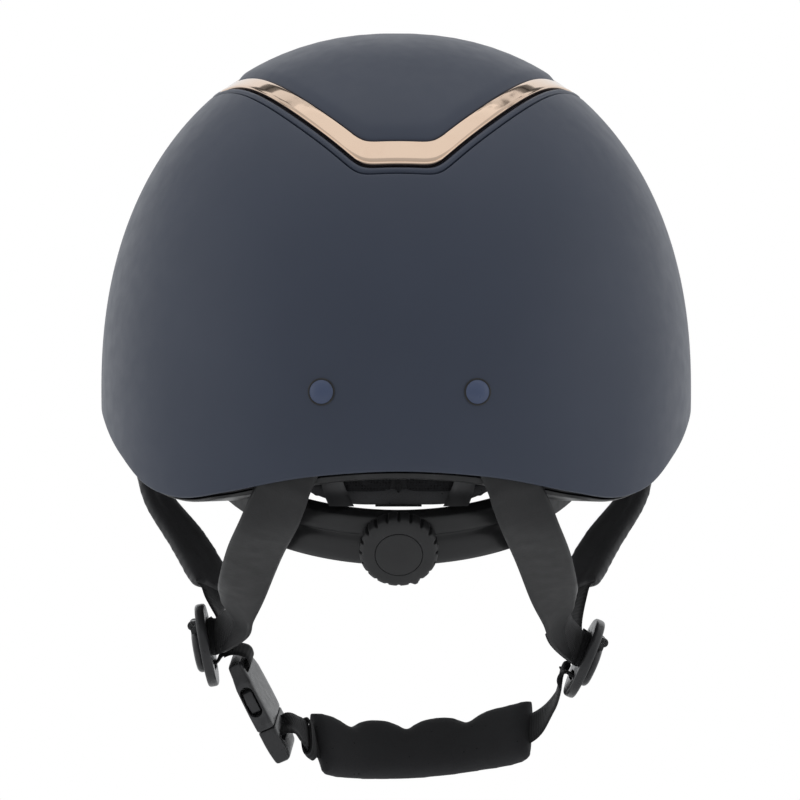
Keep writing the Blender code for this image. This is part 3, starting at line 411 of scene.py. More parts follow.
def soften(piece, width, segments=3):
    """Rounds the edges of a moulded piece."""
    modifier = piece.modifiers.new("Bevel", "BEVEL")
    modifier.width, modifier.segments = width, segments
    modifier.limit_method, modifier.angle_limit = "ANGLE", math.radians(35)
    modifier.harden_normals = False
    settle(piece)
    smooth(piece, 48)
    return piece


def subdivide(piece):
    piece.modifiers.new("Subdivision", "SUBSURF").levels = 1
    settle(piece)
    piece.data.shade_smooth()
    return piece


def axes_frame(origin, x_axis, z_axis):
    z = Vector(z_axis).normalized()
    y = z.cross(Vector(x_axis)).normalized()
    x = y.cross(z)
    return Matrix.Translation(Vector(origin)) @ Matrix((x, y, z)).transposed().to_4x4()


def turns(count):
    """Angles all the way round."""
    return [2 * math.pi * i / count for i in range(count)]


def square_up(value, power):
    """A sine or cosine raised to a power below 1, which squares a round section up."""
    return math.copysign(abs(value) ** power, value)


def oval(at, radius_x, radius_y, depth, count, power=2.0):
    squared = 2 / power
    return [at @ Vector((square_up(math.cos(a), squared) * radius_x, square_up(math.sin(a), squared) * radius_y,
                         depth)) for a in turns(count)]


def turned(name, at, profile, count=48):
    """A body of revolution about a frame's Z, through (radius, depth) points."""
    rows = [oval(at, radius, radius, depth, count) for radius, depth in profile]
    return surface(name, rows, poles=[at @ Vector((0, 0, depth)) for depth in (profile[0][1], profile[-1][1])])


def drill(piece, at, radius, low, high, count):
    """A round hole along a frame's Z."""
    return combine(piece, turned("hole", at, [(radius, low), (radius, high)], count))


def prism(name, at, outline, low, high):
    return surface(name, [[at @ Vector((x, y, z)) for x, y in outline] for z in (low, high)])


def block(name, at, low, high):
    (x0, y0, z0), (x1, y1, z1) = low, high
    return prism(name, at, ((x0, y0), (x1, y0), (x1, y1), (x0, y1)), z0, z1)


def stadium(half_long, half_wide, count=12):
    """An outline with round ends, long in Y."""
    points = []
    for end in (1, -1):
        for i in range(count + 1):
            angle = math.pi * i / count + (0 if end > 0 else math.pi)
            points.append((half_wide * math.cos(angle),
                           end * (half_long - half_wide) + half_wide * math.sin(angle)))
    return points


def smooth_path(points, count):
    points = [Vector(p) for p in points]
    ends = [2 * points[0] - points[1], *points, 2 * points[-1] - points[-2]]
    path = []
    for i in range(count):
        along = i / (count - 1) * (len(points) - 1)
        k = min(int(along), len(points) - 2)
        t = along - k
        a, b, c, d = ends[k:k + 4]
        path.append(0.5 * (2 * b + (c - a) * t + (2 * a - 5 * b + 4 * c - d) * t * t
                           + (3 * b - a - 3 * c + d) * t ** 3))
    return path


def smooth_value(table, x):
    xs, values = zip(*table)
    k = max(i for i in range(len(xs) - 1) if x >= xs[i] or i == 0)
    run = xs[k + 1] - xs[k]
    t = (x - xs[k]) / run

    def slope(i):
        if i in (0, len(xs) - 1):
            return 0.0
        return (values[i + 1] - values[i - 1]) / (xs[i + 1] - xs[i - 1])

    return ((2 * t ** 3 - 3 * t ** 2 + 1) * values[k] + (t ** 3 - 2 * t ** 2 + t) * run * slope(k)
            + (3 * t ** 2 - 2 * t ** 3) * values[k + 1] + (t ** 3 - t ** 2) * run * slope(k + 1))


def ease(low, high, x):
    """0 below low and 1 above high, with a smooth step between."""
    t = min(max((x - low) / (high - low), 0.0), 1.0)
    return t * t * (3 - 2 * t)


# ---- The dome's surfaces ----

def half_sizes(inset):
    return HALF_WIDTH - inset, HALF_LENGTH - inset, CROWN_HEIGHT - inset


def dome_point(polar, azimuth, inset=0.0):
    flat = math.sin(polar)
    direction = Vector((flat * math.cos(azimuth), flat * math.sin(azimuth), math.cos(polar)))
    total = sum((abs(d) / size) ** DOME_POWER for d, size in zip(direction, half_sizes(inset)))
    return direction * total ** (-1 / DOME_POWER)


def level_point(azimuth, height, inset=0.0):
    a, b, c = half_sizes(inset)
    level = (1 - abs(height / c) ** DOME_POWER) ** (1 / DOME_POWER)
    x, y = math.cos(azimuth), math.sin(azimuth)
    reach = level / ((abs(x) / a) ** DOME_POWER + (abs(y) / b) ** DOME_POWER) ** (1 / DOME_POWER)
    return Vector((x * reach, y * reach, height))


def rear_point(x, height, inset):
    a, b, c = half_sizes(inset)
    reach = b * (1 - abs(x / a) ** DOME_POWER - abs(height / c) ** DOME_POWER) ** (1 / DOME_POWER)
    return Vector((x, reach, height))


def side_point(side, y, height, inset):
    a, b, c = half_sizes(inset)
    reach = a * (1 - abs(y / b) ** DOME_POWER - abs(height / c) ** DOME_POWER) ** (1 / DOME_POWER)
    return Vector((side * reach, y, height))


def surface_normal(point, inset=0.0):
    return Vector([square_up(p / s, DOME_POWER - 1) / s for p, s in zip(point, half_sizes(inset))]).normalized()


def from_rear(azimuth):
    return abs((math.degrees(azimuth) - 90 + 180) % 360 - 180)


def rim_height(azimuth):
    return smooth_value(RIM_HEIGHTS, from_rear(azimuth)) * MM


def rim_polar(azimuth, inset, rise=0.0):
    point = level_point(azimuth, rim_height(azimuth) + rise, inset)
    return math.atan2(math.hypot(point.x, point.y), point.z)


def outline_polar(azimuth, sides, grow=0.0):
    total = 0
    for bearing, distance in sides:
        facing = math.cos(azimuth - math.radians(bearing))
        if facing > 0:
            total += (facing / (distance + grow)) ** CORNER_POWER
    return math.radians(total ** (-1 / CORNER_POWER))


def corner_bearings(sides):
    """Where neighbouring sides of an outline meet."""
    turns = sorted(((bearing % 360, distance) for bearing, distance in sides))
    found = []
    for (b0, d0), (b1, d1) in zip(turns, turns[1:] + turns[:1]):
        a0, a1 = math.radians(b0), math.radians(b1)
        across = math.cos(a0) / d0 - math.cos(a1) / d1
        along = math.sin(a0) / d0 - math.sin(a1) / d1
        bearing = math.atan2(-across, along)
        if math.cos(bearing - a0) < 0:
            bearing += math.pi
        found.append(bearing)
    return found


def make_azimuths():
    steps = {round(2 * math.pi * i / 240, 6) for i in range(240)}
    for corner in corner_bearings(TRIM_SIDES) + corner_bearings(PANEL_SIDES):
        steps |= {round((corner + math.radians(0.5) * k) % (2 * math.pi), 6) for k in range(-9, 10)}
    ordered = sorted(steps)
    return [a for a, b in zip(ordered, ordered[1:] + [7.0]) if b - a > math.radians(0.2)]


AZIMUTHS = make_azimuths()


def dome_ring(polar_at, inset):
    return [dome_point(polar_at(azimuth), azimuth, inset) for azimuth in AZIMUTHS]


def between(low_at, high_at, share):
    return lambda azimuth: low_at(azimuth) + (high_at(azimuth) - low_at(azimuth)) * share


def outline(sides, grow=0.0, share=1.0):
    return lambda azimuth: outline_polar(azimuth, sides, grow) * share


def rim_at(inset, rise=0.0):
    return lambda azimuth: rim_polar(azimuth, inset, rise)


POCKET = BEZEL_WIDTH + GROOVE


# ---- Shell, panel and trim ----

def outer_shell():
    floor = RECESS
    rows = [dome_ring(outline(PANEL_SIDES, share=share), floor) for share in (0.1, 0.5, 1)]
    rows.append(dome_ring(outline(TRIM_SIDES, POCKET), floor))
    rows += [dome_ring(outline(TRIM_SIDES, POCKET + grow), depth * MM)
             for grow, depth in ((0, 0.9), (0.02, 0.4), (0.08, 0.16), (0.18, 0.04), (0.34, 0))]
    start = outline(TRIM_SIDES, POCKET + 0.34)
    steps = 64
    rows += [dome_ring(between(start, rim_at(0, 0.9 * MM), i / steps), 0) for i in range(1, steps + 1)]
    # The rolled lower edge, then the inside
    rows += [dome_ring(rim_at(inset * MM, rise * MM), inset * MM)
             for inset, rise in ((0.12, 0.45), (0.35, 0.15), (0.75, 0.02), (1.1, 0), (1.45, 0.02), (1.85, 0.15),
                                 (2.1, 0.45))]
    inside = rim_at(SHELL, 0.9 * MM)
    rows += [dome_ring(between(inside, outline(TRIM_SIDES, POCKET), i / 24), SHELL) for i in range(23)]
    rows += [dome_ring(outline(TRIM_SIDES, POCKET, share), floor + SHELL) for share in (1, 0.6, 0.1)]
    made = surface("shell", rows, poles=(Vector((0, 0, CROWN_HEIGHT - floor)),
                                         Vector((0, 0, CROWN_HEIGHT - floor - SHELL))), angle=50)
    for point in rivet_points():
        rivet_hole(made, point, 32)
    smooth(made, 50)
    return place(made, "helmet", "shell", "navy", "outer_shell")


def centre_panel():
    bottom = RECESS - 1.5 * GAP
    crown = [(share, 0) for share in (0.04, 0.12, 0.2, 0.3, 0.4, 0.5, 0.6, 0.7, 0.78, 0.84, 0.88, 0.91)]
    crown += [(0.925, 0.01), (0.938, 0.05), (0.95, 0.15), (0.961, 0.32), (0.972, 0.53), (0.982, 0.73),
              (0.99, 0.9), (0.996, 1.08), (0.999, 1.3), (1, 1.6), (1, 1.95)]
    rows = [dome_ring(outline(PANEL_SIDES, -GROOVE, share), depth * MM) for share, depth in crown]
    rows += [dome_ring(outline(PANEL_SIDES, -GROOVE, share), bottom) for share in (1, 0.6, 0.2)]
    made = surface("centre_panel_skin", rows, poles=(Vector((0, 0, CROWN_HEIGHT)),
                                                     Vector((0, 0, CROWN_HEIGHT - bottom))), angle=50)
    return place(made, "helmet", "shell", "navy", "centre_panel")


def pocket_frame(name, low_at, high_at, profile, paint, slot, node):
    """A frame in the panel's pocket. Its profile is (share across it, depth in millimetres)."""
    rows = [dome_ring(between(low_at, high_at, share), depth * MM) for share, depth in profile]
    return place(surface(name, rows, cyclic=True, angle=28), "helmet", paint, slot, node)


def panel_frames():
    bottom = (RECESS - 1.5 * GAP) / MM
    band = [(0, bottom), (0, 1.25), (0.015, 0.98), (0.04, 0.8), (0.1, 0.66), (0.25, 0.58), (0.5, 0.52),
            (0.7, 0.48), (0.835, 0.45), (0.86, 0.52), (0.885, 0.54), (0.905, 0.38), (0.93, 0.25), (0.96, 0.25),
            (0.985, 0.42), (1, 0.75), (1, bottom)]
    pocket_frame("panel_trim_band", outline(PANEL_SIDES, 0.02), outline(TRIM_SIDES), band, "gold", "rose_gold",
                 "panel_trim")
    lip = [(0, bottom), (0, 1.1), (0.05, 0.75), (0.14, 0.42), (0.27, 0.14), (0.42, -0.05), (0.58, -0.1),
           (0.74, -0.02), (0.87, 0.2), (0.95, 0.5), (1, 0.95), (1, bottom)]
    pocket_frame("panel_bezel_lip", outline(TRIM_SIDES, 0.45), outline(TRIM_SIDES, BEZEL_WIDTH), lip, "shell",
                 "navy", "panel_bezel")


def rivet_points():
    return ([rear_point(side * REAR_RIVET_X, RIVET_HEIGHT, 0) for side in (1, -1)]
            + [side_point(side, FRONT_RIVET_Y, RIVET_HEIGHT, 0) for side in (1, -1)])


def rivet_frame(point):
    return axes_frame(point, UP, surface_normal(point))


def rivet_hole(piece, point, count):
    drill(piece, rivet_frame(point), 2.3 * MM, -8 * MM, 3 * MM, count)


def rivets():
    names = ("rear_rivet_left", "rear_rivet_right", "front_rivet_left", "front_rivet_right")
    for name, point in zip(names, rivet_points()):
        at = rivet_frame(point)
        head = [(0.6, 1.72), (1.3, 1.66), (2.1, 1.5), (2.8, 1.25), (3.4, 0.92), (3.8, 0.62), (4.02, 0.4),
                (4.08, 0.25), (4.0, 0.12), (3.8, 0.08), (2.0, 0.08), (2.0, -5.5)]
        made = turned(f"{name}_cap", at, [(r * MM, z * MM) for r, z in head], 64)
        washer = [(2.2, 0.04), (4.3, 0.04), (4.62, 0.1), (4.7, 0.2), (4.55, 0.3), (4.2, 0.3), (2.2, 0.28)]
        ring = turned(f"{name}_washer", at, [(r * MM, z * MM) for r, z in washer], 64)
        place(made, "helmet", "rivet", "navy", name)
        place(ring, "helmet", "gloss", "black_plastic")


# ---- Foam, rim cover and comfort pads ----

def foam_liner():
    top = outline(TRIM_SIDES, POCKET, 0.999)
    rows = [dome_ring(outline(TRIM_SIDES, POCKET, share), FOAM_OUTSIDE) for share in (0.1, 0.6, 1)]
    rows += [dome_ring(between(top, rim_at(FOAM_OUTSIDE), i / 20), FOAM_OUTSIDE) for i in range(1, 21)]
    edge = rim_at(FOAM_INSIDE)
    rows += [dome_ring(lambda a, s=share: edge(a) * s, FOAM_INSIDE)
             for share in (1, 0.96, 0.9, 0.83, 0.75, 0.66, 0.57, 0.48, 0.39, 0.3, 0.2, 0.1, 0.04)]
    made = surface("foam_liner_beads", rows, poles=(Vector((0, 0, CROWN_HEIGHT - FOAM_OUTSIDE)),
                                                    Vector((0, 0, CROWN_HEIGHT - FOAM_INSIDE))), angle=50)
    return place(made, "helmet", "foam", "foam", "foam_liner")


def strap_share(azimuth):
    """1 where a harness strap passes the rim, 0 away from it."""
    angle = from_rear(azimuth)
    rear = ease(4, 8, angle) * (1 - ease(30, 34, angle))
    front = ease(101, 105, angle) * (1 - ease(129, 133, angle))
    return max(rear, front)


def rim_cover():
    rows = []
    for azimuth in AZIMUTHS:
        out = 3 * MM + (FOAM_OUTSIDE - 2 * MM) * strap_share(azimuth)
        top = rim_height(azimuth) - 2 * GAP
        angle = from_rear(azimuth)
        low = top - RIM_COVER + 1.2 * MM * ease(20, 34, angle) * (1 - ease(60, 80, angle))
        profile = ((top, out), (top - 0.15 * MM, out - 0.05 * MM), (top - 0.3 * MM, out),
                   (low + 0.45 * MM, out + 0.3 * MM), (low + 0.25 * MM, out + 0.8 * MM),
                   (low + 0.05 * MM, out + 1.6 * MM), (low, out + 2.6 * MM),
                   (low, FOAM_INSIDE - 1.8 * MM), (low + 0.15 * MM, FOAM_INSIDE - 0.8 * MM),
                   (low + 0.4 * MM, FOAM_INSIDE - 0.1 * MM), (low + 0.6 * MM, FOAM_INSIDE), (top, FOAM_INSIDE))
        rows.append([level_point(azimuth, z, inset) for z, inset in profile])
    return place(surface("rim_cover_band", rows, cyclic=True), "helmet", "gloss", "black_plastic", "rim_cover")


def inflate(piece, voxel, cap, held=None):
    """Stuffs a closed form: a remeshed copy is blown up as cloth, and no point moves further than cap.

    held gives how firmly each point is sewn down, from 0 to 1.
    """
    modifier = piece.modifiers.new("Remesh", "REMESH")
    modifier.mode, modifier.voxel_size = "VOXEL", voxel
    settle(piece)
    mesh = piece.data
    rest = [v.co.copy() for v in mesh.vertices]
    firm = [held(p) if held else 0.0 for p in rest]
    group = piece.vertex_groups.new(name="sewn")
    for i, share in enumerate(firm):
        if share > 0.02:
            group.add([i], min(share, 1.0), "REPLACE")
    cloth = piece.modifiers.new("Cloth", "CLOTH")
    settings = cloth.settings
    settings.quality = 5
    settings.mass = 0.3
    settings.tension_stiffness = settings.compression_stiffness = 15
    settings.shear_stiffness = 5
    settings.bending_stiffness = 0.5
    settings.use_pressure = True
    settings.uniform_pressure_force = 4.0
    settings.effector_weights.gravity = 0
    if held:
        settings.vertex_group_mass = "sewn"
    scene = bpy.context.scene
    for number in range(1, 21):
        scene.frame_set(number)
    puffed = piece.evaluated_get(bpy.context.evaluated_depsgraph_get()).to_mesh()
    moved = [v.co.copy() for v in puffed.vertices]
    piece.modifiers.clear()
    scene.frame_set(1)
    for vertex, start, end, share in zip(mesh.vertices, rest, moved, firm):
        step = end - start
        if step.length > 1e-9:
            step *= cap * math.tanh(step.length / cap) / step.length
        vertex.co = start + step * (1 - share)
    piece.vertex_groups.clear()
    return subdivide(piece)


def pad_rows(bearings, drop, height, outside, steps, shrink):
    """Rings of a comfort pad inside the foam, between two bearings, drawn in by shrink."""
    rows = []
    for i in range(steps + 1):
        share = i / steps
        azimuth = math.radians(bearings[0] + (bearings[1] - bearings[0]) * share)
        low, high = rim_height(azimuth) - drop(azimuth) + shrink, rim_height(azimuth) + height - shrink
        near, far = PAD_INSIDE - shrink, outside + shrink * 0.5
        end = (1 - (2 * share - 1) ** 8) ** 0.5 if 0 < share < 1 else 0.35
        middle, half = (near + far) / 2, (near - far) / 2 * (0.45 + 0.55 * end)
        centre, tall = (low + high) / 2, (high - low) / 2 * (0.86 + 0.14 * end)
        rows.append([level_point(azimuth, centre + tall * square_up(math.sin(a), 0.45),
                                 middle + half * square_up(math.cos(a), 0.6)) for a in turns(20)])
    return rows


def bottom_line(bearings, drop, inset, rise, count):
    """Points along a pad's lower edge."""
    points = []
    for i in range(count):
        azimuth = math.radians(bearings[0] + (bearings[1] - bearings[0]) * i / (count - 1))
        points.append(level_point(azimuth, rim_height(azimuth) - drop(azimuth) + rise, inset))
    return points


def tube(name, path, radius, count):
    """A round cord with rounded ends."""
    rows = []
    total = len(path) - 1
    for i, centre in enumerate(path):
        ahead = path[min(i + 1, total)] - path[max(i - 1, 0)]
        end = min(i, total - i)
        size = radius * (0.45, 0.8, 0.95)[end] if end < 3 else radius
        rows.append(oval(axes_frame(centre, UP, ahead), size, size, 0, count))
    return surface(name, rows)


def stitches(name, path, normals, length=2.3 * MM, gap=1.1 * MM, radius=0.24 * MM):
    """A row of sewn stitches along a path, each one dipping into the fabric at both ends."""
    dense = [Vector(p) for p in path]
    runs = [0.0]
    for a, b in zip(dense, dense[1:]):
        runs.append(runs[-1] + (b - a).length)

    def read(values, distance):
        k = min(max(int(np.searchsorted(runs, distance)) - 1, 0), len(runs) - 2)
        t = (distance - runs[k]) / max(runs[k + 1] - runs[k], 1e-9)
        return values[k].lerp(values[k + 1], min(max(t, 0), 1))

    points, faces = [], []
    start = gap
    while start + length < runs[-1]:
        base = len(points)
        for i in range(6):
            share = i / 5
            reach = start + length * share
            spot, normal = read(dense, reach), read(normals, reach)
            ahead = read(dense, reach + 0.2 * MM) - read(dense, reach - 0.2 * MM)
            if ahead.length < 1e-9:
                ahead = dense[-1] - dense[0]
            spot = spot + normal.normalized() * radius * (1.1 * math.sin(math.pi * share) - 0.35)
            at = axes_frame(spot, normal, ahead)
            size = radius * (0.55 if i in (0, 5) else 1)
            points += [tuple(p) for p in oval(at, size, size, 0, 6)]
        for i in range(5):
            for j in range(6):
                k = (j + 1) % 6
                faces.append((base + i * 6 + j, base + i * 6 + k, base + i * 6 + 6 + k, base + i * 6 + 6 + j))
        faces += [tuple(base + j for j in range(5, -1, -1)), tuple(base + 30 + j for j in range(6))]
        start += length + gap
    mesh = bpy.data.meshes.new(name)
    mesh.from_pydata(points, [], faces)
    return place(from_mesh(name, mesh, None), "helmet", "thread", "fabric")


def rear_drop(azimuth):
    return 14 * MM * max(0.0, 1 - (from_rear(azimuth) / 24) ** 3)


def comfort_lining():
    hung = FOAM_INSIDE + 3.8 * MM
    for name, bearings in (("left", (65.5, 89.75)), ("right", (90.25, 114.5))):
        pad = surface(f"rear_pad_{name}_cushion", pad_rows(bearings, rear_drop, 34 * MM, hung, 24, 0.8 * MM))
        inflate(pad, 2.2 * MM, 1.2 * MM)
        place(pad, "helmet", "mesh", "fabric", f"rear_pad_{name}", fill=0.6)
    rear_fold(hung)
    backing = []
    for z in range(-41, -14):
        spots = [level_point(math.radians(b), z * MM, hung + 0.5 * MM) for b in range(85, 96)]
        backing.append(spots + [p - surface_normal(p, hung) * 0.8 * MM for p in spots[::-1]])
    place(surface("rear_pad_backing", backing), "helmet", "knit", "fabric")
    seam = [level_point(math.radians(90), z * MM, hung - 0.1 * MM) for z in range(-36, -12)]
    place(tube("rear_pad_seam", seam, 0.9 * MM, 10), "helmet", "mesh", "fabric")
    brow_pad()
    crown_pad()


def rear_fold(hung):
    """The piped fold that both rear pads end in, with its row of stitches."""
    bearings = (66, 114)
    count = 90
    fold = bottom_line(bearings, rear_drop, hung + 0.4 * MM, 4.9 * MM, count)
    normals = [surface_normal(p, hung) for p in fold]
    tall = [(2.9 - 1.5 * abs(2 * i / (count - 1) - 1) ** 3) * MM for i in range(count)]
    rows = []
    for i, (centre, normal, half) in enumerate(zip(fold, normals, tall)):
        end = min(i, count - 1 - i)
        half *= (0.4, 0.75, 0.92)[end] if end < 3 else 1
        pinch = 1 - 0.35 * math.exp(-((i - (count - 1) / 2) / 1.3) ** 2)
        rows.append([centre + UP * half * math.sin(a) + normal * 1.2 * MM * pinch * math.cos(a)
                     for a in turns(20)])
    # The fold's lighter paint is painted light against the shade under the rim
    place(surface("rear_pad_fold", rows), "helmet", "piping", "fabric", fill=0.5)
    line = [p + n * 0.75 * MM + UP * (h - 0.25 * MM) for p, n, h in zip(fold, normals, tall)]
    stitches("rear_pad_fold_stitches", line[4:-4], normals[4:-4], 1.6 * MM, 0.8 * MM, 0.16 * MM)


def brow_pad():
    rows = pad_rows((-169, -11), lambda a: 2 * MM, 36 * MM, FOAM_INSIDE + 1.3 * MM, 90, 0.9 * MM)
    pad = surface("brow_pad_cushion", rows)
    inflate(pad, 2.8 * MM, 1.3 * MM)
    place(pad, "helmet", "knit", "fabric", "brow_pad", fill=0.6)
    line = [level_point(math.radians(a), rim_height(math.radians(a)) + 4 * MM, PAD_INSIDE - 0.1 * MM)
            for a in range(-166, -13, 2)]
    stitches("brow_pad_stitches", line, [-surface_normal(p, PAD_INSIDE) for p in line])


def crown_pad():
    at = Matrix.Translation((0, 0, CROWN_HEIGHT - FOAM_INSIDE))
    profile = [(12, -13.6), (24, -13.6), (30, -13.2), (33, -11.8), (33, -10), (29, -8), (20, -5.2), (8, -3.6)]
    pad = turned("crown_pad_cushion", at, [(r * MM, z * MM) for r, z in profile], 48)
    inflate(pad, 3 * MM, 1.2 * MM, lambda p: 0.9 * ease(9 * MM, 5 * MM, abs(abs(p.x) - 13 * MM) + 5 * MM)
            if p.z < 95.5 * MM else 0)
    place(pad, "helmet", "mesh", "fabric", "crown_pad", fill=0.5)


# ---- Peak ----

def peak_station(angle, share):
    azimuth = angle - math.pi / 2
    shape = math.cos(angle / math.radians(PEAK_SPREAD) * math.pi / 2)
    reach = PEAK_LENGTH * max(shape, 0.0) ** 0.85 + 2 * MM
    root_height, tip_height = 12 * MM * shape - 1 * MM, -7 * MM * shape - 7 * MM
    root = level_point(azimuth, root_height, -2 * GAP)
    outward = Vector((math.cos(azimuth), math.sin(azimuth), 0))
    return root + outward * reach * share + Vector((0, 0, (tip_height - root_height) * share ** 1.4))


def peak():
    steps = 96
    top_rows, under_rows = [], []
    for i in range(steps + 1):
        angle = math.radians(PEAK_SPREAD) * (2 * i / steps - 1)
        shape = max(math.cos(angle / math.radians(PEAK_SPREAD) * math.pi / 2), 0)
        shares = [k / 18 for k in range(19)]
        top = [peak_station(angle, share) for share in shares]
        drop = UP * PEAK_SKIN
        outward = (top[-1] - top[-2]).normalized()
        nose = [top[-1] + outward * 0.5 * MM * math.sin(math.pi * k / 6) - drop * (k / 6) for k in range(1, 6)]
        top_rows.append(top + nose + [p - drop for p in reversed(top)])
        low = [p - drop - UP * 2.5 * GAP for p in top]
        deep = [p - UP * (1.2 * MM + 7 * MM * shape * (1 - share) ** 1.5) for p, share in zip(low, shares)]
        under_rows.append(low + deep[::-1])
    place(surface("peak_skin", top_rows, angle=50), "helmet", "shell", "navy", "peak")
    place(surface("peak_lining", under_rows, angle=50), "helmet", "knit", "black_plastic", "peak_underside")


# ---- Straps ----

def band_rows(stations, first, last, count, section):
    """Rings of a strap between two stations, in millimetres. section gives (side, height) points for a share
    along it, with side from -1 to 1 across the strap and height in metres above its middle."""
    total = len(stations) - 1
    dense = 16 * total + 1
    path = [p * MM for p in smooth_path([s[0] for s in stations], dense)]
    acrosses = smooth_path([s[1] for s in stations], dense)
    widths = [w.x * MM for w in smooth_path([(s[2], 0, 0) for s in stations], dense)]

    def read(values, spot):
        k = min(int(spot), dense - 2)
        return values[k] + (values[k + 1] - values[k]) * (spot - k)

    rows = []
    for i in range(count):
        share = i / (count - 1)
        spot = (first + (last - first) * share) * 16
        centre = read(path, spot)
        ahead = read(path, min(spot + 0.5, dense - 1)) - read(path, max(spot - 0.5, 0))
        across = read(acrosses, spot)
        across = (across - ahead * (across.dot(ahead) / ahead.length_squared)).normalized()
        up = ahead.cross(across).normalized()
        half = read(widths, spot) / 2
        rows.append([centre + across * side * half + up * height for side, height in section(share, half)])
    return rows


def flat_section(thickness, around=7):
    """A tape with rounded edges."""
    def section(share, half):
        points = []
        for top in (1, -1):
            for j in range(around):
                side = top * (1 - 2 * j / (around - 1))
                edge = max(0.0, abs(side) * half - (half - thickness * 0.5)) / (thickness * 0.5)
                height = thickness / 2 * math.sqrt(max(1 - edge * edge, 0.02))
                points.append((side, top * height))
        return points
    return section


def under_shell(point, sign_axis):
    across = UP.cross(surface_normal(point, STRAP_LAYER))
    return point / MM, across if across[sign_axis] > 0 else -across


def mirrored(stations, side):
    return [(Vector((side * p[0], p[1], p[2])), Vector((side * w[0], w[1], w[2])), width)
            for p, w, width in stations]


DIVIDERS = {
    "left": (Vector((70.5, 12, -95)) * MM, math.radians(10.5)),
    "right": (Vector((-70, 12, -100)) * MM, math.radians(23.6)),
}
DIVIDER_HALF = (19 * MM, 15.5 * MM)
LEVER_PIN = Vector((0, 8.5, 3.6)) * MM
SLOTS = {"rear": (9, 3.5, 125), "front": (-9, 3.5, 55), "low": (0, -7.5, 0)}


def divider_frame(name):
    spot, lean = DIVIDERS[name]
    side = 1 if name == "left" else -1
    up = Vector((side * math.sin(lean), 0, math.cos(lean)))
    outward = Vector((side * math.cos(lean), 0, -math.sin(lean)))
    return Matrix.Translation(spot) @ Matrix((Vector((0, 1, 0)), up, outward)).transposed().to_4x4()


def slot_frame(at, x, y, degrees):
    return at @ Matrix.Translation((x * MM, y * MM, 0)) @ Matrix.Rotation(math.radians(degrees), 4, "Z")


def rear_stations(name, side):
    """Points, width directions and widths along a rear strap, in millimetres."""
    at = divider_frame(name)
    inward = at.to_3x3() @ Vector((0, 0, -1))
    slot = slot_frame(at, *SLOTS["rear"])
    across, end = slot.to_3x3() @ Vector((1, 0, 0)), slot.translation / MM
    stations = [(*under_shell(rear_point(x * MM, z * MM, STRAP_LAYER + deeper * MM), 0), STRAP_WIDTH)
                for x, z, deeper in ((25, 8, 0), (27.5, -3, 0), (32.5, -17, 0.1), (38.2, -30, 0.5),
                                     (40.6, -36.5, 0.6))]
    stations += [((45.2, 104.5, -47), (1, -0.2, 0), STRAP_WIDTH), ((50.5, 88, -58), (1, -0.05, 0), STRAP_WIDTH),
                 ((55.1, 68, -70.4), (1, 0.05, 0.15), 18), ((58.2, 50, -79.4), (0.8, -0.25, 0.45), 15.5)]
    return mirrored(stations, side) + [
        (end + inward * 12.6 + AFT * 15 + Vector((0, 0, 4)), Vector((side * 0.6, -0.5, 0.6)), 14),
        (end + inward * 5.2 + AFT * 1.2, across, WEBBING_WIDTH), (end + inward * 2.6, across, WEBBING_WIDTH),
        (end, across, WEBBING_WIDTH)]


def front_stations(name, side):
    at = divider_frame(name)
    inward = at.to_3x3() @ Vector((0, 0, -1))
    slot = slot_frame(at, *SLOTS["front"])
    slot_across, end = slot.to_3x3() @ Vector((1, 0, 0)), slot.translation / MM
    stations = [(*under_shell(side_point(1, y * MM, z * MM, STRAP_LAYER), 1), WEBBING_WIDTH)
                for y, z in ((-52, 8), (-49.5, -3), (-46, -13))]
    stations += [(point, across, WEBBING_WIDTH) for point, across in (
        ((97, -41.5, -25), (0.1, 0.95, -0.25)), ((91, -33, -41.5), (0.3, 0.9, -0.25)),
        ((78.8, -22, -58), (0.5, 0.8, -0.3)), ((70, -9, -72.5), (0.5, 0.8, -0.25)),
        ((68.3, -2, -80), (0.35, 0.8, 0.15)))]
    return mirrored(stations, side) + [(end + inward * 5.2 + Vector((0, -1.6, 2.4)), slot_across, WEBBING_WIDTH),
                                       (end + inward * 2.6, slot_across, WEBBING_WIDTH),
                                       (end, slot_across, WEBBING_WIDTH)]


def leather_section(share, half, outer, crinkle):
    """A folded leatherette strap: two hems with a stitch line beside each, and a slight curl at its edges."""
    free = ease(0.42, 0.6, share)
    thin = 1.35 * MM + 0.75 * MM * free
    # The end is cut from the outer edge down to a tip on the inner one
    cut = 1 - 1.75 * max(0.0, (share - 0.87) / 0.13)
    points = []
    for top in (1, -1):
        for j in range(17):
            side = top * (1 - 2 * j / 16)
            edge = max(0.0, abs(side) * half - (half - thin * 0.5)) / (thin * 0.5)
            height = thin / 2 * math.sqrt(max(1 - edge * edge, 0.03))
            hem = -0.16 * MM * math.exp(-((abs(side) * half - (half - 2.3 * MM)) / (0.4 * MM)) ** 2) * free
            curl = 1.1 * MM * free * ease(0.35, 1.0, side * outer) ** 2
            fold = 0.3 * MM * free * (1 - abs(side)) * crinkle(share, side)
            points.append((-1 + (side + 1) * (cut + 1) / 2, top * (height + hem) + curl + fold))
    return points


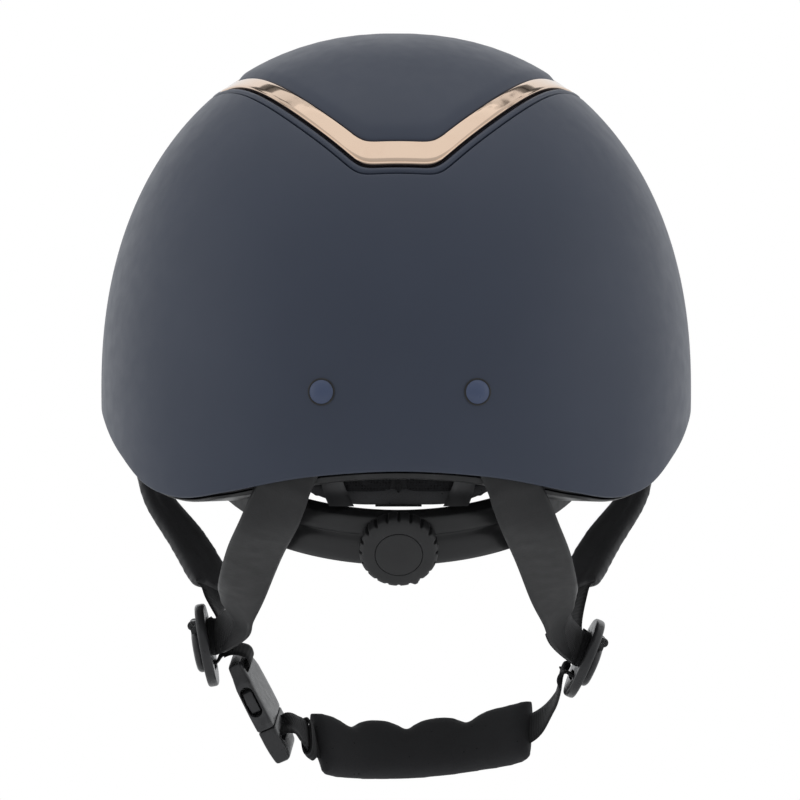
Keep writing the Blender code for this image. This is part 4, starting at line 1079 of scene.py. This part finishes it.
def rear_strap(name, side):
    stations = rear_stations(name, side)

    def crinkle(share, across):
        fine = noise.noise(Vector((share * 46, across * 1.1, side * 3.0)))
        return fine * (1 - ease(0.6, 0.85, share))

    rows = band_rows(stations, 0, 9.75, 170, lambda share, half: leather_section(share, half, side, crinkle))
    made = surface(f"rear_strap_{name}_leather", rows, angle=None)
    rivet_hole(made, rear_point(side * REAR_RIVET_X, RIVET_HEIGHT, 0), 24)
    made.data.shade_smooth()
    place(made, "helmet", "leather", "leather", f"rear_strap_{name}")
    rows = band_rows(stations, 8.6, 12, 70, flat_section(1.5 * MM))
    tape = surface(f"rear_strap_{name}_webbing", rows, angle=None)
    place(tape, "helmet", "tape", "webbing")


def front_strap(name, side):
    stations = front_stations(name, side)
    rows = band_rows(stations, 0, 10, 140, flat_section(1.4 * MM))
    tape = surface(f"front_strap_{name}_webbing", rows, angle=None)
    rivet_hole(tape, side_point(side, FRONT_RIVET_Y, RIVET_HEIGHT, 0), 24)
    tape.data.shade_smooth()
    place(tape, "helmet", "tape", "webbing", f"front_strap_{name}")

    def lobes(share, half):
        """A soft tube folded round the webbing, with a crease down its outside."""
        end = math.sqrt(max(1 - abs(2 * share - 1) ** 10, 0.12))
        points = []
        for a in turns(32):
            wide = 9.4 * MM / half * square_up(math.cos(a), 0.8)
            crease = 1 - 0.55 * math.exp(-((math.cos(a) - 0.15) / 0.16) ** 2)
            points.append((wide * (0.94 + 0.06 * end), 3.1 * MM * end * crease * square_up(math.sin(a), 0.8)))
        return points

    made = surface(f"front_sleeve_{name}_cover", band_rows(stations, 3, 6.4, 70, lobes), angle=None)
    inflate(made, 1.6 * MM, 0.8 * MM)
    # The sleeve paint's lighter base colour is painted light against the shade round the sleeves
    place(made, "helmet", "sleeve", "leather", f"front_sleeve_{name}", fill=0.5)


# ---- Dividers with their cam levers ----

def divider(name):
    at = divider_frame(name)
    wide, tall = DIVIDER_HALF
    rows = [oval(at, wide * share, tall * share, depth * MM, 72, 2.3)
            for share, depth in ((0.93, -1.8), (0.965, -1.74), (0.985, -1.5), (0.997, -1), (1, -0.5), (1, 0.5),
                                 (0.997, 1), (0.985, 1.5), (0.965, 1.74), (0.93, 1.8))]
    body = surface(f"divider_{name}_plate", rows)
    for spot in SLOTS.values():
        cutter = prism("slot", slot_frame(at, *spot) @ Matrix.Rotation(math.pi / 2, 4, "Z"),
                       stadium(8.3 * MM, 1.75 * MM), -5 * MM, 5 * MM)
        combine(body, cutter)
    pin = at @ Matrix.Translation(LEVER_PIN) @ Matrix.Rotation(math.pi / 2, 4, "Y")
    for low in (-8.6, 6.4):
        ear = turned("ear", pin, [(1.75 * MM, low * MM), (1.75 * MM, (low + 2.2) * MM)], 32)
        combine(ear, block("foot", at, ((low + 0.06) * MM, 6.85 * MM, 1.2 * MM),
                           ((low + 2.14) * MM, 10.15 * MM, 3.45 * MM)), "UNION")
        combine(body, ear, "UNION")
    drill(body, pin, 0.9 * MM, -12 * MM, 12 * MM, 24)
    soften(body, 0.35 * MM)
    place(body, "helmet", "hardware", "black_plastic", f"divider_{name}")
    lever(name, at, pin)


def lever(name, at, pin):
    centre = at @ Matrix.Translation((0, -1.2 * MM, 0))
    rows = [oval(centre, 11 * MM * share, 8.4 * MM * share, depth * MM, 56, 2.3)
            for share, depth in ((0.92, 2.15), (0.98, 2.3), (1, 2.7), (1, 3.3), (0.98, 3.9), (0.93, 4.4),
                                 (0.85, 4.75), (0.7, 4.95))]
    body = surface(f"cam_lever_{name}_cover", rows)
    combine(body, block("room", at, (-20 * MM, 5.4 * MM, 0), (20 * MM, 12 * MM, 9 * MM)))
    knuckle = turned("knuckle", pin, [(1.5 * MM, -6 * MM), (1.5 * MM, 6 * MM)], 28)
    combine(knuckle, block("arm", at, (-6 * MM, 4.6 * MM, 2.6 * MM), (6 * MM, 7.8 * MM, 4.6 * MM)), "UNION")
    combine(body, knuckle, "UNION")
    drill(body, pin, 0.9 * MM, -12 * MM, 12 * MM, 24)
    for k in range(3):
        combine(body, block("rib", at, (-5 * MM, (-6.3 + 1.5 * k) * MM, 4.6 * MM),
                            (5 * MM, (-5.7 + 1.5 * k) * MM, 8 * MM)))
    soften(body, 0.25 * MM)
    place(body, f"cam_lever_{name}", "hardware", "black_plastic", f"cam_lever_{name}")


# ---- Side-release buckle ----

BUCKLE_AXIS = Vector((-0.438, -0.2, -0.876)).normalized()
BUCKLE_TOP = Vector((59.4, 11.5, -99.4)) * MM
HOUSING_LENGTH = 27
# X aft, Y through its thickness, Z to the chin
BUCKLE_FRAME = axes_frame(BUCKLE_TOP, (0.08, 0.96, -0.26), BUCKLE_AXIS)


def strap_opening(body, depth, half_long, half_wide):
    """A round-ended slot through the buckle's thickness, in millimetres."""
    at = (BUCKLE_FRAME @ Matrix.Translation((0, 0, depth * MM)) @ Matrix.Rotation(math.pi / 2, 4, "X")
          @ Matrix.Rotation(math.pi / 2, 4, "Z"))
    combine(body, prism("opening", at, stadium(half_long * MM, half_wide * MM), -9 * MM, 9 * MM))


def buckle_housing():
    rows = [oval(BUCKLE_FRAME, wide * MM, thick * MM, depth * MM, 96, 9)
            for wide, thick, depth in ((9.3, 1.9, 0), (9.8, 2.35, 0.12), (10.1, 2.6, 0.5), (10.2, 2.75, 1.4),
                                       (10.5, 3, 4.5), (11.4, 3.25, 7), (12.1, 3.4, 9), (12.3, 3.5, 14),
                                       (12.3, 3.6, 20), (12.1, 3.6, 24.5), (12, 3.55, 26.4),
                                       (11.8, 3.4, 26.85), (11.5, 3.1, HOUSING_LENGTH))]
    body = surface("buckle_housing_cover", rows)
    combine(body, block("cavity", BUCKLE_FRAME, (-9.6 * MM, -2.2 * MM, 7 * MM), (9.6 * MM, 2.2 * MM, 40 * MM)))
    for side in (-1, 1):
        # Z of this frame runs out through the buckle's side, and Y along the buckle
        at = BUCKLE_FRAME @ Matrix.Translation((side * 8 * MM, 0, 15 * MM)) @ Matrix.Rotation(
            side * math.pi / 2, 4, "Y") @ Matrix.Rotation(math.pi / 2, 4, "Z")
        combine(body, prism("window", at, stadium(6.2 * MM, 2.6 * MM), 0, 9 * MM))
    strap_opening(body, 3.8, 8.4, 1.5)
    soften(body, 0.3 * MM)
    return place(body, "helmet", "hardware", "black_plastic", "buckle_housing")


def buckle_tongue():
    start = HOUSING_LENGTH + 0.4
    rows = [oval(BUCKLE_FRAME, wide * MM, thick * MM, (start + depth) * MM, 96, 9)
            for wide, thick, depth in ((11.4, 3, 0), (11.7, 3.3, 0.15), (11.9, 3.5, 0.6), (11.9, 3.5, 5.5),
                                       (11.6, 3.4, 8.5), (11.1, 3.2, 11.5), (10.7, 3, 13.2), (10.4, 2.7, 13.8),
                                       (9.9, 2.2, 14.1))]
    body = surface("buckle_tongue_cover", rows)
    guide = block("guide", BUCKLE_FRAME, (-2 * MM, -1.6 * MM, 12 * MM), (2 * MM, 1.6 * MM, (start + 1) * MM))
    combine(body, guide, "UNION")
    strap_opening(body, start + 5.6, 8.7, 2.1)
    soften(body, 0.3 * MM)
    return place(body, "buckle_tongue", "hardware", "black_plastic", "buckle_tongue")


def buckle_prongs():
    for name, side in (("front", -1), ("rear", 1)):
        root = HOUSING_LENGTH + 0.1
        points = [(7.2, root), (7.2, 12), (8.6, 10.4), (11.6, 11.2), (12.4, 15), (11.6, 19.4), (9.0, 20.2),
                  (8.8, root)]
        at = BUCKLE_FRAME @ Matrix.Rotation(math.pi / 2, 4, "X")
        outline_points = [(side * x * MM, z * MM) for x, z in points]
        arm = prism(f"buckle_prong_{name}_arm", at, outline_points, -1.9 * MM, 1.9 * MM)
        soften(arm, 0.6 * MM, 4)
        place(arm, f"prong_{name}", "hardware", "black_plastic", f"buckle_prong_{name}")


# ---- Chin strap ----

CHIN_ACROSS = Vector((0, -math.cos(PAD_TILT), math.sin(PAD_TILT)))
PAD_ROUTE = ((30, -6, -133.2), (12, -16, -136.5), (-9, -20, -136.8), (-31, -17, -133.8), (-51, -8, -128))
PUFF_DIPS, PUFF_LEVEL = (13.4 * MM, -6.8 * MM, -27.4 * MM), -140.5 * MM


def chin_stations():
    slit = BUCKLE_FRAME @ Vector((0, 0, (HOUSING_LENGTH + 6) * MM)) / MM
    turn = BUCKLE_FRAME.to_3x3()
    inside = turn @ Vector((0, 1, 0))
    if inside.x > 0:
        inside = -inside
    buckle_across = turn @ Vector((1, 0, 0))
    lower = slot_frame(divider_frame("right"), *SLOTS["low"])
    finish, inward = lower.translation / MM, lower.to_3x3() @ Vector((0, 0, -1))
    wide = WEBBING_WIDTH
    stations = [(slit, buckle_across, wide), (slit + inside * 5.6, buckle_across, wide),
                (Vector((35, -0.5, -128.6)), Vector((0, 0.86, -0.52)), wide)]
    stations += [(Vector(p), -CHIN_ACROSS, wide) for p in PAD_ROUTE]
    return stations + [(Vector((-59.5, 1, -117.5)), Vector((0.1, 0.9, -0.4)), wide),
                       (finish + inward * 5.5 - UP, AFT, 14.4), (finish + inward * 2.4, AFT, 14),
                       (finish, AFT, 14)]


def across_tongue(piece):
    """Bakes the piece's placement into its mesh."""
    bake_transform(piece)


def chin_webbing():
    rows = band_rows(chin_stations(), 0, 11, 220, flat_section(1.3 * MM))
    made = place(surface("chin_webbing_tape", rows, angle=None), None, "tape", "webbing", "chin_webbing")
    across_tongue(made)


def chin_pad():
    stations = chin_stations()

    def puffs(x):
        """1 on a puff, 0 in the sewn dips between them."""
        return min(1.0, min(abs(x - dip) for dip in PUFF_DIPS) / (7 * MM))

    def section(share, half):
        end = math.sqrt(max(1 - abs(2 * share - 1) ** 14, 0.15))
        x = (PAD_ROUTE[0][0] + (PAD_ROUTE[-1][0] - PAD_ROUTE[0][0]) * share) * MM
        pull = max(max(0.0, 1 - abs(x - dip) / (9 * MM)) ** 2 for dip in PUFF_DIPS)
        points = []
        for a in turns(40):
            top = ease(0.1, 1.0, -math.cos(a))
            points.append((14.4 * MM / half * square_up(math.cos(a), 0.75) * (1 - 0.34 * pull * top),
                           4.4 * MM * end * square_up(math.sin(a), 0.75) * (1 - 0.5 * pull * top)))
        return points

    made = surface("chin_pad_cushion", band_rows(stations, 3, 7, 120, section), angle=None)

    def held(point):
        return 1 - ease(0.0, 1.0, puffs(point.x)) if point.z > PUFF_LEVEL else 0.0

    inflate(made, 1.4 * MM, 1.1 * MM, held)
    place(made, None, "knit", "fabric", "chin_pad", fill=0.6)
    across_tongue(made)


def strap_keeper():
    def loop(wide, thick):
        return band_rows(chin_stations(), 2.35, 2.8, 10, lambda share, half: [
            (square_up(math.cos(a), 0.7) * wide / half, square_up(math.sin(a), 0.7) * thick) for a in turns(40)])

    rows, inner = loop(9.2 * MM, 2.3 * MM), loop(8.4 * MM, 1.5 * MM)
    made = surface("strap_keeper_loop", rows + inner[::-1], cyclic=True, angle=60)
    place(made, None, "elastic", "webbing", "strap_keeper")
    across_tongue(made)


def buckle_webbing():
    slot = slot_frame(divider_frame("left"), *SLOTS["low"])
    turn = BUCKLE_FRAME.to_3x3()
    inward, first = slot.to_3x3() @ Vector((0, 0, -1)), slot.translation / MM
    last, across = BUCKLE_FRAME @ Vector((0, 0, 3.8 * MM)) / MM, turn @ Vector((1, 0, 0))
    stations = [(first, AFT, 14), (first + inward * 2.4 + UP * 0.8, AFT, 14)]
    # Over the buckle's end and in through its opening from the inner face
    stations += [(BUCKLE_FRAME @ (Vector((0, thick, depth)) * MM) / MM, across, 14)
                 for thick, depth in ((3.8, -3.4), (-0.6, -3.2), (-4.5, -0.4), (-4.4, 3))]
    stations.append((last, across, 14))
    made = surface("buckle_webbing_tape", band_rows(stations, 0, 6, 110, flat_section(1.1 * MM)), angle=None)
    place(made, "helmet", "tape", "webbing", "buckle_webbing")


# ---- Dial-fit cradle ----

CRADLE_OUT = Vector((0, math.cos(CRADLE_LEAN), -math.sin(CRADLE_LEAN)))
CRADLE_UP = Vector((0, math.sin(CRADLE_LEAN), math.cos(CRADLE_LEAN)))
CRADLE_CENTRE = CRADLE_REAR - BELT_RADIUS * CRADLE_OUT
DIAL_FRAME = axes_frame(CRADLE_CENTRE, (1, 0, 0), CRADLE_OUT)


def arc_point(radius, degrees, height):
    turn = math.radians(degrees)
    return (CRADLE_CENTRE + (Vector((math.sin(turn), 0, 0)) + CRADLE_OUT * math.cos(turn)) * radius
            + CRADLE_UP * height)


def arc_body(name, section, low, high, steps):
    rows = [[arc_point(radius, low + (high - low) * i / steps, height) for radius, height in section]
            for i in range(steps + 1)]
    return surface(name, rows, angle=35)


def cradle():
    spread, rail, channel = HOUSING_SPREAD, HOUSING_HALF, CHANNEL_HALF
    low, mid, high = (BELT_RADIUS + offset * MM for offset in (-2.8, -1.2, 2.9))
    base = arc_body("cradle_base_moulding", ((low, -rail), (high, -rail), (high, -channel), (mid, -channel),
                                             (mid, channel), (high, channel), (high, rail), (low, rail)),
                    -spread, spread, 60)
    soften(base, 0.35 * MM)
    place(base, "cradle", "satin", "black_plastic", "cradle_base")
    under = high + GAP
    section = [(under, -rail)]
    # Two crowned strips, the lower one standing prouder
    for low_edge, high_edge, proud, drop in ((-rail, 1.7 * MM, 5 * MM, 1.4 * MM),
                                             (2.2 * MM, rail, 4.2 * MM, 0.7 * MM)):
        for k in range(15):
            share = 2 * k / 14 - 1
            section.append((BELT_RADIUS + proud - drop * abs(share) ** 3,
                            (low_edge + high_edge) / 2 + (high_edge - low_edge) / 2 * share))
    section.append((under, rail))
    cover = arc_body("cradle_cover_moulding", section, -spread, spread, 60)
    drill(cover, DIAL_FRAME, 3.6 * MM, BELT_RADIUS + MM, BELT_RADIUS + 7 * MM, 32)
    soften(cover, 0.3 * MM)
    place(cover, "cradle", "gloss", "black_plastic", "cradle_cover")
    inner, outer = low - 5 * MM, low - 1.8 * MM
    section = [((inner + outer) / 2 + (outer - inner) / 2 * square_up(math.cos(a), 0.6),
                -0.1 * MM + 5.5 * MM * square_up(math.sin(a), 0.6)) for a in turns(24)]
    pad = arc_body("nape_pad_cushion", section, -spread + 1, spread - 1, 48)
    inflate(pad, 1.6 * MM, 0.7 * MM)
    place(pad, "cradle", "knit", "fabric", "nape_pad", fill=0.6)


def knob():
    base = BELT_RADIUS + 5.1 * MM
    count, notches = 480, 20
    rows = []
    for radius, depth, cut in ((11.6, 0.0, 0), (12.9, 0.1, 0.1), (13.4, 0.5, 0.5), (13.7, 1.1, 0.9),
                               (13.8, 2, 1),
                               (13.8, 4, 1), (13.7, 5.0, 0.95), (13.45, 5.7, 0.7), (13.0, 6.3, 0.3),
                               (12.5, 6.7, 0.05), (11.9, 7.0, 0), (11.1, 7.25, 0), (10, 7.42, 0),
                               (9.2, 7.5, 0), (8.6, 7.5, 0),
                               (8.4, 7.44, 0), (8.3, 7.3, 0), (8.28, 7.0, 0), (8.28, 6.6, 0)):
        row = []
        for i, angle in enumerate(turns(count)):
            off = (i * notches / count + 0.5) % 1 - 0.5
            notch = math.exp(-(off / 0.13) ** 4)
            tab = 0.7 * math.exp(-((angle - math.radians(116)) / math.radians(4)) ** 4) if cut else 0
            r = (radius - cut * notch + tab) * MM
            row.append(DIAL_FRAME @ Vector((r * math.cos(angle), r * math.sin(angle), base + depth * MM)))
        rows.append(row)
    body = surface("dial_knob_grip", rows, poles=(DIAL_FRAME @ Vector((0, 0, base)),
                                                  DIAL_FRAME @ Vector((0, 0, base + 6.6 * MM))), angle=45)
    place(body, "dial", "satin", "black_plastic", "dial_knob")
    face = [(8.1, 6.7), (8.16, 7.2), (8.14, 7.4), (8.05, 7.52), (7.85, 7.6), (7.4, 7.66), (6, 7.8), (4, 7.94),
            (2, 8.02), (0.6, 8.04)]
    cap = turned("dial_cap_disc", DIAL_FRAME, [(r * MM, base + z * MM) for r, z in face], 96)
    place(cap, "dial", "satin", "black_plastic", "dial_cap")


def struts():
    for name, side in (("left", 1), ("right", -1)):
        pivot_x, pivot_z = HANGER_PIVOT
        pivot = rear_point(side * pivot_x, pivot_z, HANGER_LAYER)
        foot = arc_point(BELT_RADIUS + 2 * MM, side * 16, HOUSING_HALF + 2.4 * MM)
        path = [pivot + UP * 4 * MM + Vector((side * 0.6, 0.4, 0)) * MM, pivot,
                pivot - UP * 5 * MM - Vector((side * 0.6, 0.6, 0)) * MM,
                pivot - UP * 10 * MM - Vector((side * 2, 1.6, 0)) * MM, foot]
        across = Vector((side, -0.27, 0)).normalized()
        outward = UP.cross(across)
        rows = []
        for share, spot in zip(range(50), smooth_path(path, 50)):
            half = (3.1 + 1.4 * ease(0, 49, share) + 0.6 * math.exp(-((share - 14) / 8) ** 2)) * MM
            rows.append([spot + across * x * half + outward * y for x, y in flat_section(1.3 * MM, 9)(0, half)])
        made = surface(f"cradle_strut_{name}_blade", rows, angle=50)
        at = axes_frame(pivot, (1, 0, 0), surface_normal(pivot, HANGER_LAYER))
        drill(made, at, 1.8 * MM, -4 * MM, 4 * MM, 32)
        smooth(made, 50)
        # The strut paint's lighter base colour is painted light against the shade under the shell
        place(made, "cradle", "hanger", "black_plastic", f"cradle_strut_{name}")


# ---- CAD pieces that keep their shape ----

def finish_nodes():
    keep = {"steel": [f"cradle_screw_{i}" for i in range(1, 5)] + ["cradle_stud_left", "cradle_stud_right"],
            "satin": ["fit_belt_left", "fit_belt_right", "dial_pinion", "lever_pin_left", "lever_pin_right"]}
    for paint, names in keep.items():
        for name in names:
            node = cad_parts[name]
            node.data.materials.clear()
            node.data.materials.append(paints[paint])


# ---- Studio ----

def area_light(name, spot, size, power):
    data = bpy.data.lights.new(name, "AREA")
    data.shape, data.size, data.size_y, data.energy = "RECTANGLE", *size, power
    made = bpy.data.objects.new(name, data)
    made.matrix_world = axes_frame(spot, (1, 0.01, 0), spot)
    bpy.context.scene.collection.objects.link(made)


TENT, ROOM = 0.63, 0.42  # brightness round the helmet and towards the camera, against 1 for the backdrop
FLOOR, CAMERA_DISTANCE = -0.325, 1.3


def studio():
    scene = bpy.context.scene
    scene.view_settings.view_transform = "Standard"
    scene.view_settings.look = "None"
    world = bpy.data.worlds.new("studio")
    scene.world = world
    world.use_nodes = True
    tree = world.node_tree
    tree.nodes.clear()

    def node(kind, inputs=None, **settings):
        made = tree.nodes.new(kind)
        for key, value in settings.items():
            setattr(made, key, value)
        for key, value in (inputs or {}).items():
            if isinstance(value, bpy.types.NodeSocket):
                tree.links.new(value, made.inputs[key])
            else:
                made.inputs[key].default_value = value
        return made

    split = node("ShaderNodeSeparateXYZ", {"Vector": node("ShaderNodeTexCoord").outputs["Generated"]})

    def graded(axis, low, high, to_low, to_high):
        made = node("ShaderNodeMapRange", {"Value": split.outputs[axis], "From Min": low, "From Max": high,
                                           "To Min": to_low, "To Max": to_high}, interpolation_type="SMOOTHSTEP")
        return made.outputs["Result"]

    def product(a, b):
        return node("ShaderNodeMath", {0: a, 1: b}, operation="MULTIPLY").outputs[0]

    # A bright backdrop behind the helmet, an even tent round it and a dimmer room towards the camera. Two dark
    # gaps in the tent, high up behind, and some clutter beside them show in the polished trim.
    along = node("ShaderNodeMapRange", {"Value": split.outputs["Y"], "From Min": -1.0, "From Max": 1.0})

    def stops(values):
        made = node("ShaderNodeValToRGB", {"Fac": along.outputs["Result"]})
        bar = made.color_ramp
        for _ in values[2:]:
            bar.elements.new(0.5)
        for element, (spot, value) in zip(bar.elements, values):
            element.position, element.color = (spot + 1) / 2, (value, value, value, 1)
        return made.outputs["Color"]

    tent = stops(((-1, 1), (-0.6, 0.95), (-0.2, TENT), (0.35, TENT), (0.95, ROOM)))
    gaps = stops(((-0.75, 1), (-0.735, 0.2), (-0.69, 0.14), (-0.682, 0.02), (-0.668, 0.02), (-0.66, 0.16),
                  (-0.61, 0.24), (-0.6, 1)))
    band = stops(((-0.58, 0), (-0.54, 1), (-0.36, 1), (-0.28, 0)))
    specks = node("ShaderNodeTexNoise", {"Vector": split.inputs[0].links[0].from_socket, "Scale": 11.0,
                                         "Detail": 3.0})
    dark = node("ShaderNodeMapRange", {"Value": specks.outputs["Fac"], "From Min": 0.56, "From Max": 0.62,
                                       "To Min": 0.0, "To Max": 0.75}).outputs["Result"]
    clutter = node("ShaderNodeMath", {0: 1.0, 1: product(band, dark)}, operation="SUBTRACT").outputs[0]
    shaded = product(gaps, clutter)
    up_high = graded("Z", 0.25, 0.35, 0, 1)
    shade = node("ShaderNodeMix", {"Factor": up_high, "A": 1.0, "B": shaded}).outputs["Result"]
    level = product(tent, graded("Z", -0.6, 0.8, 0.8, 1.0))
    tent = product(level, shade)
    plain = node("ShaderNodeBackground", {"Color": (1, 1, 1, 1), "Strength": 1.0})
    lit = node("ShaderNodeBackground", {"Color": (0.97, 0.985, 1, 1), "Strength": tent})
    seen = node("ShaderNodeMixShader", {0: node("ShaderNodeLightPath").outputs["Is Camera Ray"],
                                        1: lit.outputs[0], 2: plain.outputs[0]})
    node("ShaderNodeOutputWorld", {"Surface": seen.outputs[0]})

    floor_paint = Paint("studio_floor", (0.86, 0.86, 0.86), 0.6)
    floor_paint.vary_roughness(floor_paint.noise(6, 3), 0.05)
    rows = [oval(Matrix.Translation((0, 0, FLOOR)), r, r, 0, 96) for r in (0.02, 0.6, 1.3)]
    rows += [oval(Matrix.Translation((0, 0, FLOOR - 2 * MM)), r, r, 0, 96) for r in (1.3, 0.6, 0.02)]
    floor = surface("studio_floor", rows)
    floor.data.materials.append(floor_paint.made)

    area_light("overhead", (0, 0.1, 1.5), (1.6, 1.2), 2)
    area_light("left_side", (1.5, 0.35, 0.3), (0.9, 1.2), 1)
    area_light("right_side", (-1.5, 0.35, 0.3), (0.9, 1.2), 1)

    camera = bpy.data.objects.new("camera", bpy.data.cameras.new("camera"))
    camera.data.lens, camera.data.sensor_width = 155.6, 36
    camera.data.clip_start, camera.data.clip_end = 0.05, 20
    yaw = math.radians(0.6)
    away = Vector((math.sin(yaw), math.cos(yaw), 0))
    camera.matrix_world = axes_frame(Vector((-0.0015, 0, -0.00376)) + away * CAMERA_DISTANCE, (-1, 0, 0), away)
    scene.collection.objects.link(camera)
    scene.camera = camera


# ---- Everything ----

outer_shell()
centre_panel()
panel_frames()
rivets()
foam_liner()
rim_cover()
comfort_lining()
peak()
for name, side in (("left", 1), ("right", -1)):
    rear_strap(name, side)
    front_strap(name, side)
    divider(name)
buckle_housing()
buckle_tongue()
buckle_prongs()
buckle_webbing()
chin_webbing()
chin_pad()
strap_keeper()
cradle()
knob()
struts()
finish_nodes()
studio()
